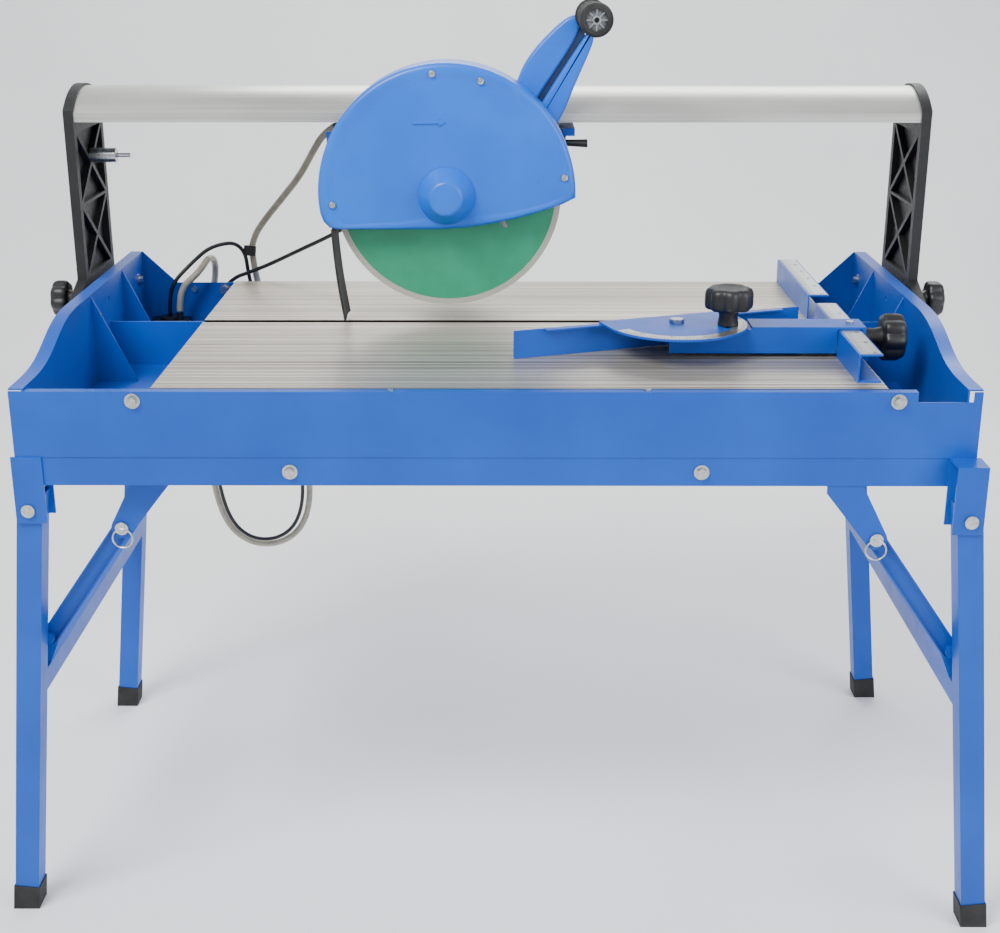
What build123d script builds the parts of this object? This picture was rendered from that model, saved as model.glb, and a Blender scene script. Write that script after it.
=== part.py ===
from build123d import *
import os
from math import cos, radians, sin, tan

os.makedirs("parts", exist_ok=True)

# Wet tile saw: water tray on folding legs, slotted table, tilting bridge, sliding saw head.
# Origin on the floor under the middle of the machine, +X along the bridge, +Y to the rear.

# Driving dimensions, mm
table_top = 695.0  # cutting surface above the floor
table_front = -280.0
table_left = -398.0
table_right = 453.0
blade_y = 50.0  # plane of the blade and of the slot in the table
blade_x = -65.0
blade_z = table_top + 174.5
blade_radius = 150.0
sheet = 2.0  # tray sheet

# Tray
tray_half = 541.0
lip_half = 558.0
tray_front = -295.0
tray_rear = 330.0
tray_bottom = table_top - 79.0
wall_high = table_top + 42.0  # rear part of the end walls
rear_wall_top = table_top - 6.0
drain_y = 225.0

# Table
plank_thick = 15.0
slot_half = 7.0
plank_bottom = table_top - plank_thick

# Underframe and legs
rail_high = 35.0
rail_deep = 30.0
rail_top = tray_bottom
rail_bottom = rail_top - rail_high
frame_half_x = 557.0
frame_half_y = 294.0
tube_wall = 2.0
leg_size = 30.0
hinge_x = 548.0
hinge_z = 550.0
splay = 6.0  # degrees, feet outward
leg_y = {-1: 277.5, 1: 312.0}  # the right pair stands outside the left, so they nest when folded
leg_end = 546.0  # from the hinge to the end of the tube
cheek = 2.5
bolt_r = 4.0
running = 0.05
tab_point = (553.0, 366.0)
elbow_point = (450.0, 513.5)
brace_width = 22.0
brace_y = {-1: 246.4, 1: 281.4}  # inner face of each brace
brace_deep = 8.0

# Bridge
post_in = 568.0
post_out = 581.0
bridge_front = 112.0
bridge_rear = 261.0
rail_low = table_top + 258.0
rail_edge = table_top + 270.0
rail_crown = table_top + 300.0
track_y = (135.0, 238.0)
stud_y = 114.0
stud_z = table_top + 17.0

# Saw head
pivot_x = -215.0
pivot_z = 910.0
guard_front = 17.0
guard_rear = 83.0
guard_radius = 168.0
guard_wall = 2.5
plate_rear = 92.0
grip_x = 122.0
grip_z = 1092.0
motor_r = 58.0
motor_rear = 330.0
shaft_r = 10.0

# Fence
fence_pivot = (225.0, -115.0)
fence_turn = 20.0
arm_front = -138.0
arm_rear = -93.0
arm_low = table_top + 5.0
arm_top = table_top + 35.0
knob_stud = (287.0, -127.0)
clamp_z = table_top + 20.0
plate_low = arm_top + 0.4  # the protractor turns on top of the arm
plate_top = plate_low + 2.6

# Cords
hose_r = 5.0
cable_r = 3.0


def block(x0, x1, y0, y1, z0, z1, mode=Mode.ADD):
    # Plain box between two corners
    with Locations(((x0 + x1) / 2, (y0 + y1) / 2, (z0 + z1) / 2)):
        Box(abs(x1 - x0), abs(y1 - y0), abs(z1 - z0), mode=mode)


def rod(start, direction, radius, length, mode=Mode.ADD):
    # Round bar from a start point
    with BuildSketch(Plane(origin=start, z_dir=direction)) as disc:
        Circle(radius)
    extrude(disc.sketch, amount=length, mode=mode)


def hex_bar(start, direction, across, length, mode=Mode.ADD):
    # Hexagon bar from a start point, by its size across flats
    with BuildSketch(Plane(origin=start, z_dir=direction)) as hexagon:
        RegularPolygon(across / 2, 6, major_radius=False)
    extrude(hexagon.sketch, amount=length, mode=mode)


def keep(piece, label):
    # Name a finished piece and write it
    piece.part.label = label
    export_step(piece.part, f"parts/{label}.step")


# Tray

with BuildPart() as tray_pan:
    block(-tray_half, tray_half, tray_front, tray_rear, tray_bottom, tray_bottom + sheet)
    block(-lip_half, lip_half, tray_front, tray_front + sheet, tray_bottom, table_top)
    block(-tray_half, tray_half, tray_front, tray_front + 12, table_top - sheet, table_top)
    with BuildSketch(Plane.XZ.offset(-tray_rear)):
        with BuildLine():
            Polyline(
                (-tray_half, tray_bottom),
                (tray_half, tray_bottom),
                (tray_half, wall_high),
                (tray_half - 50, rear_wall_top),
                (50 - tray_half, rear_wall_top),
                (-tray_half, wall_high),
                close=True,
            )
        make_face()
    extrude(amount=sheet)
    # hand notch at the right end of the front wall, and the drain hole
    block(484, 548, tray_front - 1, tray_front + 14, table_top - 12, table_top + 1, Mode.SUBTRACT)
    rod((300, drain_y, tray_bottom - 1), (0, 0, 1), 15, 5, Mode.SUBTRACT)
keep(tray_pan, "tray_pan")


def end_outline(drop):
    # Side view of an end wall: low at the front, an ogee up to the rear part
    start = tray_front + sheet
    stop = tray_rear - sheet
    low = table_top + 3 - drop
    high = wall_high - drop
    Line((start, tray_bottom), (start, low))
    Line((start, low), (-250, low))
    Bezier((-250, low), (-145, low), (-145, high), (-40, high))
    Line((-40, high), (stop, high))
    Line((stop, high), (stop, tray_bottom))
    Line((stop, tray_bottom), (start, tray_bottom))


for side, label in ((-1, "left_end_wall"), (1, "right_end_wall")):
    inner = side * tray_half
    with BuildPart() as end_wall:
        with BuildSketch(Plane.YZ.offset(inner)):
            with BuildLine():
                end_outline(0)
            make_face()
            # bores for the tilt pivot and for the stud of the tilt knob
            with Locations((blade_y, table_top)):
                Circle(6, mode=Mode.SUBTRACT)
            with Locations((stud_y, stud_z)):
                Circle(bolt_r + running, mode=Mode.SUBTRACT)
        extrude(amount=side * sheet)
        with BuildSketch(Plane.YZ.offset(inner + side * sheet)):
            with BuildLine():
                end_outline(0)
            make_face()
            with BuildLine():
                end_outline(sheet)
            make_face(mode=Mode.SUBTRACT)
        extrude(amount=side * (lip_half - tray_half - sheet))
    keep(end_wall, label)

with BuildPart() as end_gussets:
    for side in (-1, 1):
        for gusset_y in (25.0, 200.0):
            with BuildSketch(Plane.XZ.offset(-gusset_y)):
                with BuildLine():
                    Polyline(
                        (side * tray_half, tray_bottom + sheet),
                        (side * (tray_half - 55), tray_bottom + sheet),
                        (side * tray_half, wall_high - sheet),
                        close=True,
                    )
                make_face()
            extrude(amount=3)
keep(end_gussets, "end_gussets")

with BuildPart() as tray_beams:
    block(-tray_half, tray_half, 110, 113, tray_bottom + sheet, plank_bottom)
    for beam_y in (-200.0, 270.0):
        block(table_left, table_right, beam_y, beam_y + 3, tray_bottom + sheet, plank_bottom)
keep(tray_beams, "tray_beams")


def planks(start, stop, count):
    # Grooved aluminium extrusions side by side, hollowed from below
    gap = 1.0
    wide = (stop - start - gap * (count - 1)) / count
    for i in range(count):
        middle = start + wide / 2 + i * (wide + gap)
        with BuildSketch(Plane.YZ.offset(table_left)) as profile:
            with Locations((middle, table_top - plank_thick / 2)):
                Rectangle(wide, plank_thick)
            with Locations((middle, table_top)):
                with GridLocations(7.0, 1, 11, 1):
                    Rectangle(1.6, 1.2, mode=Mode.SUBTRACT)
            with Locations((middle, plank_bottom + 4)):
                with GridLocations(wide / 3, 1, 3, 1):
                    Rectangle(wide / 3 - 4, 12, mode=Mode.SUBTRACT)
        extrude(profile.sketch, amount=table_right - table_left)


with BuildPart() as front_planks:
    planks(table_front, blade_y - slot_half, 4)
keep(front_planks, "front_planks")

with BuildPart() as rear_planks:
    planks(blade_y + slot_half, 309, 3)
keep(rear_planks, "rear_planks")

with BuildPart() as stop_rail:
    # channel open to the right, parted where the blade passes
    for start, stop in ((-255.0, 13.0), (62.0, 309.0)):
        block(422, 424, start, stop, table_top, table_top + 34)
        block(424, 450, start, stop, table_top, table_top + 2)
        block(424, 450, start, stop, table_top + 32, table_top + 34)
keep(stop_rail, "stop_rail")


def washer_bolt(start, direction):
    # Hexagon head on a round washer
    rod(start, direction, 9, 1.5)
    hex_bar(Vector(start) + Vector(direction) * 1.5, direction, 10, 4.5)


with BuildPart() as drain_plug:
    rod((300, drain_y, tray_bottom - 7), (0, 0, 1), 21, 7)
    rod((300, drain_y, tray_bottom), (0, 0, 1), 14.9, 6)
keep(drain_plug, "drain_plug")

with BuildPart() as pump:
    block(-527, -471, 280, 322, tray_bottom + sheet, tray_bottom + sheet + 20)
    fillet(pump.edges().filter_by(Axis.Z), radius=4)
    rod((-499, 301, tray_bottom + sheet + 20), (0, 0, 1), 15, 5)
    rod((-482, 292, tray_bottom + 20), (0, 0, 1), 5, 14)
keep(pump, "pump")

# Underframe



def square_tube(plane, centre, wide, high, length):
    # Hollow rectangular bar
    with BuildSketch(plane) as profile:
        with Locations(centre):
            Rectangle(wide, high)
            Rectangle(wide - 2 * tube_wall, high - 2 * tube_wall, mode=Mode.SUBTRACT)
    extrude(profile.sketch, amount=length)


with BuildPart() as frame_rails:
    reach = frame_half_y - rail_deep
    middle_z = rail_bottom + rail_high / 2
    for side in (-1, 1):
        long_y = side * (frame_half_y - rail_deep / 2)
        long_plane = Plane.YZ.offset(-frame_half_x)
        square_tube(long_plane, (long_y, middle_z), rail_deep, rail_high, 2 * frame_half_x)
        short_x = side * (frame_half_x - rail_deep / 2)
        square_tube(Plane.XZ.offset(-reach), (short_x, middle_z), rail_deep, rail_high, 2 * reach)
keep(frame_rails, "frame_rails")

sleeve_low = 534.0
with BuildPart() as leg_sleeves:
    for end in (-1, 1):
        # left pair under the frame, between its outer cheek and a short inner one
        block(-563, -527, end * 294, end * 296.5, sleeve_low, rail_top)
        block(-563, -527, end * 259, end * 261.5, sleeve_low, rail_bottom)
        block(-563, -527, end * 261.5, end * 294, rail_bottom - cheek, rail_bottom)
        # right pair in front of and behind the frame, closed on top
        block(527, 563, end * 294, end * 296.5, sleeve_low, rail_top)
        block(527, 563, end * 327.5, end * 330, sleeve_low, rail_top)
        block(527, 563, end * 296.5, end * 327.5, rail_top - cheek, rail_top)
    for end in (-1, 1):
        for side in (-1, 1):
            rod((side * hinge_x, end * 250, hinge_z), (0, end, 0), bolt_r, 85, Mode.SUBTRACT)
keep(leg_sleeves, "leg_sleeves")

bracket_y = {-1: 255.0, 1: 290.0}  # inner face of each bracket plate
with BuildPart() as brace_brackets:
    for end in (-1, 1):
        for side in (-1, 1):
            face_y = end * bracket_y[side]
            with BuildSketch(Plane.XZ.offset(-face_y)) as outline:
                with Locations((side * 409, rail_bottom - 5)):
                    Rectangle(42, 10)
                with Locations((side * elbow_point[0], elbow_point[1])):
                    Circle(13)
                make_hull()
                with Locations((side * elbow_point[0], elbow_point[1])):
                    Circle(bolt_r, mode=Mode.SUBTRACT)
            extrude(outline.sketch, amount=-end * 3)
            block(
                side * 388,
                side * 430,
                end * (bracket_y[side] - (0 if side < 0 else 24)),
                end * (bracket_y[side] + (35 if side < 0 else 0)),
                rail_bottom - 2.5,
                rail_bottom,
            )
keep(brace_brackets, "brace_brackets")

with BuildPart() as frame_bolts:
    for bolt_x in (-416.0, 462.0):
        washer_bolt((bolt_x, tray_front, table_top - 11), (0, -1, 0))
    for bolt_x in (-239.0, 240.0):
        washer_bolt((bolt_x, -frame_half_y, rail_bottom + 17), (0, -1, 0))
        washer_bolt((bolt_x, frame_half_y, rail_bottom + 17), (0, 1, 0))
    washer_bolt((-418, tray_rear - sheet, table_top - 16), (0, -1, 0))
    rod((-464, tray_rear - sheet, table_top - 16), (0, -1, 0), 5, 2.5)
    for side in (-1, 1):
        washer_bolt((side * tray_half, 295, table_top + 5), (-side, 0, 0))
    for screw_x in (-120.0, 175.0):
        rod((screw_x, tray_front + 7, table_top), (0, 0, 1), 4, 1.8)
    for end in (-1, 1):
        # leg hinge bolts through the sleeves
        for side, inner, outer in ((-1, 259.0, 296.5), (1, 294.0, 330.0)):
            rod((side * hinge_x, end * inner, hinge_z), (0, end, 0), bolt_r, outer - inner)
            rod((side * hinge_x, end * outer, hinge_z), (0, end, 0), 8, 3)
        # spring pins at the elbows of the braces
        for side in (-1, 1):
            foot = (side * elbow_point[0], end * bracket_y[side], elbow_point[1])
            rod(foot, (0, end, 0), bolt_r, 3)
            rod(Vector(foot) + Vector(0, end * 3, 0), (0, end, 0), 8, 3)
keep(frame_bolts, "frame_bolts")

# Legs, one folding frame on each side

for side, name in ((-1, "left"), (1, "right")):
    along = Vector(side * sin(radians(splay)), 0, -cos(radians(splay)))
    hinge = Vector(side * hinge_x, 0, hinge_z)
    half_gap = leg_y[side] - leg_size / 2

    with BuildPart() as legs:
        for end in (-1, 1):
            top = hinge + Vector(0, end * leg_y[side], 0) - along * 18
            with BuildSketch(Plane(origin=top, x_dir=(0, 1, 0), z_dir=along)) as profile:
                Rectangle(leg_size, leg_size)
                Rectangle(leg_size - 2 * tube_wall, leg_size - 2 * tube_wall, mode=Mode.SUBTRACT)
            extrude(profile.sketch, amount=leg_end + 18)
            low_y = end * (leg_y[side] - 20)
            rod((side * hinge_x, low_y, hinge_z), (0, end, 0), bolt_r + running, 40, Mode.SUBTRACT)
    keep(legs, f"{name}_legs")

    with BuildPart() as crossbar:
        middle = hinge + along * 236
        with BuildSketch(Plane(origin=middle, x_dir=along, z_dir=(0, 1, 0))) as profile:
            Rectangle(leg_size, leg_size)
            Rectangle(leg_size - 2 * tube_wall, leg_size - 2 * tube_wall, mode=Mode.SUBTRACT)
        extrude(profile.sketch, amount=half_gap, both=True)
        for end in (-1, 1):
            # welded tab with the shoulder rivet that the brace turns on
            tab_in = brace_y[side] - 3.4
            with BuildSketch(Plane.XZ.offset(-end * tab_in)) as outline:
                with Locations((side * tab_point[0], tab_point[1])):
                    Circle(11)
                with Locations((side * 569, 329)):
                    Rectangle(24, 4)
                make_hull()
            extrude(outline.sketch, amount=-end * 3)
            rivet = (side * tab_point[0], end * (tab_in + 2), tab_point[1])
            rod(rivet, (0, end, 0), bolt_r, brace_deep + 2)
            rod(Vector(rivet) + Vector(0, end * (brace_deep + 1.8), 0), (0, end, 0), 7.5, 3)
    keep(crossbar, f"{name}_crossbar")

    with BuildPart() as feet:
        for end in (-1, 1):
            top = hinge + Vector(0, end * leg_y[side], 0) + along * 520
            with BuildSketch(Plane(origin=top, x_dir=(0, 1, 0), z_dir=along)) as profile:
                Rectangle(leg_size + 3, leg_size + 3)
            extrude(profile.sketch, amount=40)
            with BuildSketch(Plane(origin=top, x_dir=(0, 1, 0), z_dir=along)) as pocket:
                Rectangle(leg_size, leg_size)
            extrude(pocket.sketch, amount=leg_end - 520, mode=Mode.SUBTRACT)
        split(bisect_by=Plane.XY, keep=Keep.TOP)
    keep(feet, f"{name}_feet")

    with BuildPart() as braces:
        for end in (-1, 1):
            face = Plane.XZ.offset(-end * brace_y[side])
            ends = [(side * tab_point[0], tab_point[1]), (side * elbow_point[0], elbow_point[1])]
            with BuildSketch(face) as outline:
                with Locations(*ends):
                    Circle(brace_width / 2)
                make_hull()
                with Locations(*ends):
                    Circle(bolt_r + running, mode=Mode.SUBTRACT)
            extrude(outline.sketch, amount=-end * brace_deep)
            # channel: the web stays at the inner face
            with BuildSketch(face.offset(-end * tube_wall)) as hollow:
                with Locations(*ends):
                    Circle(brace_width / 2 - tube_wall)
                make_hull()
                with Locations(*ends):
                    Circle(bolt_r + 2.5, mode=Mode.SUBTRACT)
            extrude(hollow.sketch, amount=-end * brace_deep, mode=Mode.SUBTRACT)
    keep(braces, f"{name}_braces")

# Fence

with BuildPart() as fence_arm:
    block(214, 421, arm_front, arm_rear, arm_low, arm_top)
    block(213, 422, arm_front + 3, arm_rear - 3, arm_low - 1, arm_top - 3, Mode.SUBTRACT)
    block(316, 456, arm_front, arm_rear, arm_top, arm_top + 3)
    block(452, 456, arm_front, arm_rear, table_top + 2, arm_top)
    rod((450, fence_pivot[1], clamp_z), (1, 0, 0), bolt_r + running, 10, Mode.SUBTRACT)
    rod((*fence_pivot, arm_low), (0, 0, 1), 5, 50, Mode.SUBTRACT)
    rod((*knob_stud, arm_low), (0, 0, 1), bolt_r + running, 50, Mode.SUBTRACT)
keep(fence_arm, "fence_arm")

with BuildPart() as fence_pivot_bolt:
    rod((*fence_pivot, arm_low), (0, 0, 1), 5, plate_top - arm_low + 0.3)
    hex_bar((*fence_pivot, plate_top + 0.3), (0, 0, 1), 16, 5)
    # screw at the right end of the bright top plate
    rod((440, fence_pivot[1], arm_top + 3), (0, 0, 1), 5, 2.5)
keep(fence_pivot_bolt, "fence_pivot_bolt")

bar_low = table_top + 0.4
fence_plane = Plane(
    origin=(*fence_pivot, bar_low),
    x_dir=(cos(radians(fence_turn)), sin(radians(fence_turn)), 0),
    z_dir=(0, 0, 1),
)
bar_offset = 37.0
bar_middle = -3.5  # the bar just clears the stop rail when it is turned square
bar_length = 397.0
bar_thick = 3.0
bar_high = plate_low - bar_low
clamp_track = CenterArc((0, 0), 63.2, -41, 34)
with BuildPart() as fence_protractor:
    with BuildSketch(fence_plane.offset(bar_high)) as outline:
        with BuildLine():
            rear = bar_offset + bar_thick
            CenterArc((0, 0), 88, 180, 180)
            Line((88, 0), (88, rear))
            Line((88, rear), (-88, rear))
            Line((-88, rear), (-88, 0))
        make_face()
        Circle(5 + running, mode=Mode.SUBTRACT)
        SlotArc(clamp_track, 9.5, mode=Mode.SUBTRACT)
    extrude(outline.sketch, amount=plate_top - plate_low)
keep(fence_protractor, "fence_protractor")

with BuildPart() as fence_bar:
    with BuildSketch(fence_plane) as face:
        with Locations((bar_middle, bar_offset + bar_thick / 2)):
            Rectangle(bar_length, bar_thick)
    extrude(face.sketch, amount=bar_high)
    with BuildSketch(fence_plane.offset(bar_high - 2)) as lip:
        with Locations((3, bar_offset - 3)):
            Rectangle(330, 9)
    extrude(lip.sketch, amount=2)
keep(fence_bar, "fence_bar")


with BuildPart() as fence_knob:
    top = arm_top + 3.3
    rod((*knob_stud, table_top + 0.6), (0, 0, 1), bolt_r, top - table_top)
    rod((*knob_stud, top), (0, 0, 1), 13, 20)
    with BuildSketch(Plane.XY.offset(top + 20)) as outline:
        with Locations(knob_stud):
            Circle(26)
            with PolarLocations(24, 8):
                Circle(6)
    extrude(outline.sketch, amount=28)
    chamfer(fence_knob.faces().sort_by(Axis.Z)[-1].edges(), length=3)
keep(fence_knob, "fence_knob")

with BuildPart() as fence_clamp_knob:
    rod((451, fence_pivot[1], clamp_z), (1, 0, 0), bolt_r, 10)
    rod((456.3, fence_pivot[1], clamp_z), (1, 0, 0), 12.5, 24)
    with BuildSketch(Plane.YZ.offset(480)) as outline:
        with Locations((fence_pivot[1], clamp_z)):
            Circle(26)
            with PolarLocations(24, 8):
                Circle(6)
    extrude(outline.sketch, amount=28)
    chamfer(fence_clamp_knob.faces().sort_by(Axis.X)[-1].edges(), length=3)
keep(fence_clamp_knob, "fence_clamp_knob")

# Bridge


def crown(inset, low):
    # Section of the bridge rail: flat below, arched on top
    left = bridge_front + inset
    right = bridge_rear - inset
    middle = (left + right) / 2
    Line((left, rail_edge - inset), (left, low))
    Line((left, low), (right, low))
    Line((right, low), (right, rail_edge - inset))
    ThreePointArc((right, rail_edge - inset), (middle, rail_crown - inset), (left, rail_edge - inset))


with BuildPart() as bridge_rail:
    with BuildSketch(Plane.YZ.offset(-post_in)) as profile:
        with BuildLine():
            crown(0, rail_low)
        make_face()
        with BuildLine():
            crown(3.5, rail_low + 3.5)
        make_face(mode=Mode.SUBTRACT)
        with Locations(*[(y, rail_low + 9) for y in track_y]):
            Rectangle(27, 17)
            Rectangle(21, 11, mode=Mode.SUBTRACT)
        with Locations(*[(y, rail_low + 1) for y in track_y]):
            Rectangle(12, 8, mode=Mode.SUBTRACT)
    extrude(profile.sketch, amount=2 * post_in)
keep(bridge_rail, "bridge_rail")

slot_radius = ((stud_y - blade_y) ** 2 + (stud_z - table_top) ** 2) ** 0.5
tilt_track = CenterArc((blade_y, table_top), slot_radius, -30.6, 45.5)
for side, name in ((-1, "left"), (1, "right")):
    with BuildPart() as post:
        web = Plane.YZ.offset(side * post_out)
        with BuildSketch(web) as outline:
            with BuildLine():
                crown(-3, table_top - 25)
            make_face()
            with BuildLine():
                Polyline(
                    (bridge_front - 3, table_top + 45),
                    (40, table_top + 18),
                    (31, table_top - 8),
                    (88, table_top - 48),
                    (bridge_rear - 30, table_top - 48),
                    (bridge_rear + 3, table_top - 20),
                    (bridge_rear + 3, table_top + 45),
                    close=True,
                )
            make_face()
            with Locations((blade_y, table_top)):
                Circle(20)
        extrude(outline.sketch, amount=-side * (post_out - post_in))
        # pockets on the inner face leave flanges and cross ribs
        with BuildSketch(Plane.YZ.offset(side * post_in)) as pockets:
            for low, high in ((45.0, 145.0), (145.0, 245.0)):
                near, far = bridge_front + 7, bridge_rear - 7
                centre = ((near + far) / 2, table_top + (low + high) / 2)
                corners = [(near, low), (far, low), (far, high), (near, high)]
                for i in range(4):
                    ay, az = corners[i]
                    by, bz = corners[(i + 1) % 4]
                    shrink = 0.88
                    middle = ((ay + by + centre[0]) / 3, (az + bz + low / 2 + high / 2) / 3)
                    points = [(ay, az), (by, bz), (centre[0], (low + high) / 2)]
                    with BuildLine():
                        Polyline(
                            *[
                                (
                                    middle[0] + shrink * (y - middle[0]),
                                    table_top + middle[1] + shrink * (z - middle[1]),
                                )
                                for y, z in points
                            ],
                            close=True,
                        )
                    make_face()
        extrude(pockets.sketch, amount=side * 9, mode=Mode.SUBTRACT)
        with BuildSketch(web) as holes:
            with Locations((blade_y, table_top)):
                Circle(6 + running)
            SlotArc(tilt_track, 9)
        extrude(holes.sketch, amount=-side * 20, mode=Mode.SUBTRACT)
    keep(post, f"{name}_post")

with BuildPart() as tilt_pivots:
    for side in (-1, 1):
        rod((side * (tray_half - 4), blade_y, table_top), (side, 0, 0), 6, post_out - tray_half + 7)
        rod((side * (tray_half + sheet), blade_y, table_top), (side, 0, 0), 13, 24.6)
        rod((side * (tray_half - 5), blade_y, table_top), (side, 0, 0), 11, 5)
        rod((side * (post_out + 0.4), blade_y, table_top), (side, 0, 0), 10, 5)
keep(tilt_pivots, "tilt_pivots")

for side, name in ((-1, "left"), (1, "right")):
    with BuildPart() as tilt_knob:
        rod((side * (tray_half - 8), stud_y, stud_z), (side, 0, 0), bolt_r, post_out - tray_half + 12)
        rod((side * (tray_half - 8), stud_y, stud_z), (side, 0, 0), 8, 7.7)
        rod((side * (post_out + 0.4), stud_y, stud_z), (side, 0, 0), 12, 14)
        with BuildSketch(Plane.YZ.offset(side * (post_out + 14))) as outline:
            with Locations((stud_y, stud_z)):
                Circle(22)
                with PolarLocations(20.5, 7):
                    Circle(5)
        extrude(outline.sketch, amount=side * 23)
    keep(tilt_knob, f"{name}_tilt_knob")

with BuildPart() as post_bolts:
    for side in (-1, 1):
        for bolt_y in track_y:
            washer_bolt((side * post_out, bolt_y, rail_low + 10), (side, 0, 0))
keep(post_bolts, "post_bolts")

with BuildPart() as transport_stop:
    stop_y, stop_z = 186.0, table_top + 205
    rod((-post_in + 9, stop_y, stop_z), (1, 0, 0), 3, 46)
    rod((-post_in, stop_y, stop_z), (1, 0, 0), 10, 36)
keep(transport_stop, "transport_stop")

# Carriage

carriage_low = 934.0
carriage_high = 944.0
with BuildPart() as carriage_plate:
    block(-221, 105, 122, 252, carriage_low, carriage_high)
    for lug_y in (125.0, 237.0):
        with BuildSketch(Plane.XZ.offset(-lug_y)) as outline:
            with Locations((pivot_x, carriage_low + 2)):
                Rectangle(32, 6)
            with Locations((pivot_x, pivot_z)):
                Circle(16)
            make_hull()
        extrude(outline.sketch, amount=-10)
    rod((pivot_x, 120, pivot_z), (0, 1, 0), 6, 140, Mode.SUBTRACT)
    rod((85, 124, 900), (0, 0, 1), bolt_r + running, 60, Mode.SUBTRACT)
    block(-170, 60, 160, 214, carriage_low - 1, carriage_high + 1, Mode.SUBTRACT)
keep(carriage_plate, "carriage_plate")

with BuildPart() as carriage_rollers:
    for roller_x in (-195.0, 40.0):
        for roller_y in track_y:
            rod((roller_x, roller_y, carriage_high), (0, 0, 1), 3, 20)
            rod((roller_x, roller_y, rail_low + 5), (0, 0, 1), 10.2, 8)
keep(carriage_rollers, "carriage_rollers")

with BuildPart() as plunge_pin:
    rod((pivot_x, 122, pivot_z), (0, 1, 0), 6, 128)
keep(plunge_pin, "plunge_pin")

with BuildPart() as lock_lever:
    rod((85, 124, 920), (0, 0, 1), bolt_r, 27)
    rod((85, 124, 919), (0, 0, 1), 8, 14.6)
    with BuildSketch(Plane.YZ.offset(85)) as near:
        with Locations((124, 925)):
            Ellipse(5, 4)
    with BuildSketch(Plane.YZ.offset(122)) as far:
        with Locations((124, 924)):
            Ellipse(8, 5.5)
    loft([near.sketch, far.sketch])
keep(lock_lever, "lock_lever")

# Saw head

with BuildPart() as head_plate:
    with BuildSketch(Plane.XZ.offset(-guard_rear)) as outline:
        with Locations((blade_x, blade_z)):
            Circle(62)
        with Locations((-183, 912)):
            Circle(18)
        with Locations((15, 925)):
            Circle(26)
        make_hull()
        with Locations((blade_x, blade_z)):
            Circle(22, mode=Mode.SUBTRACT)
    extrude(outline.sketch, amount=guard_rear - plate_rear)
    # arm back to the barrel that turns on the plunge pin
    block(-195, -172, plate_rear, 180, 900, 924)
    rod((pivot_x, 136, pivot_z), (0, 1, 0), 13, 100)
    block(pivot_x, -185, 140, 180, 902, 918)
    rod((pivot_x, 130, pivot_z), (0, 1, 0), 6 + running, 112, Mode.SUBTRACT)
keep(head_plate, "head_plate")


def guard_outline():
    # Side view of the guard: round above the blade, low and flat at the left
    rim = CenterArc((blade_x, blade_z), guard_radius, 5, 173)
    right_low = (blade_x + guard_radius, table_top + 171)
    left_low = (-219, table_top + 130)
    Polyline(rim @ 1, (-229, table_top + 143), left_low, (-77, table_top + 130))
    TangentArc((-77, table_top + 130), right_low, tangent=(1, 0))
    Line(right_low, rim @ 0)


with BuildPart() as guard_shell:
    with BuildSketch(Plane.XZ.offset(-guard_front)) as outline:
        with BuildLine():
            guard_outline()
        make_face()
    extrude(outline.sketch, amount=guard_front - guard_rear)
    with BuildSketch(Plane.XZ.offset(-guard_front - guard_wall)) as inside:
        with BuildLine():
            guard_outline()
        make_face()
        offset(amount=-guard_wall, mode=Mode.REPLACE)
        with Locations((-64, table_top + 137)):
            Rectangle(324, 70)
    extrude(inside.sketch, amount=guard_front - guard_rear + 2 * guard_wall, mode=Mode.SUBTRACT)
    rod((blade_x, guard_front - 1, blade_z), (0, 1, 0), 28, 5, Mode.SUBTRACT)
    rod((blade_x, guard_rear - 4, blade_z), (0, 1, 0), 34, 6, Mode.SUBTRACT)
keep(guard_shell, "guard_shell")

with BuildPart() as guard_cover:
    with BuildSketch(Plane.XZ.offset(-guard_front)) as base:
        with Locations((blade_x, blade_z)):
            Circle(37)
    with BuildSketch(Plane.XZ.offset(28 - guard_front)) as nose:
        with Locations((blade_x, blade_z)):
            Circle(20)
    loft([base.sketch, nose.sketch])
    with BuildSketch(Plane.XZ.offset(-guard_front)) as hollow_base:
        with Locations((blade_x, blade_z)):
            Circle(33)
    with BuildSketch(Plane.XZ.offset(25 - guard_front)) as hollow_nose:
        with Locations((blade_x, blade_z)):
            Circle(17)
    loft([hollow_base.sketch, hollow_nose.sketch], mode=Mode.SUBTRACT)
keep(guard_cover, "guard_cover")

with BuildPart() as splash_flap:
    with BuildSketch(Plane.XY.offset(table_top + 8)) as low:
        with Locations((-203, blade_y)):
            Rectangle(3, 64)
    with BuildSketch(Plane.XY.offset(table_top + 129.5)) as high:
        with Locations((-216, blade_y)):
            Rectangle(3, 64)
    loft([low.sketch, high.sketch])
keep(splash_flap, "splash_flap")

with BuildPart() as handle_arm:
    with BuildSketch(Plane.XZ.offset(-plate_rear)) as outline:
        with BuildLine():
            Polyline(
                (-2, 930), (8, 960), (26, 1006), (36, 1032), (60, 1062), (100, 1102),
                (128, 1086), (124, 1052), (104, 1004), (86, 958), (40, 918), (14, 916),
                close=True,
            )
        make_face()
        fillet(outline.vertices(), radius=7)
        with Locations((grip_x, grip_z)):
            Circle(26)
    extrude(outline.sketch, amount=-16)
keep(handle_arm, "handle_arm")

with BuildPart() as handle_grip:
    rod((grip_x, plate_rear, grip_z), (0, -1, 0), 21, 143)
    chamfer(handle_grip.faces().sort_by(Axis.Y)[0].edges(), length=3)
keep(handle_grip, "handle_grip")

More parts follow.
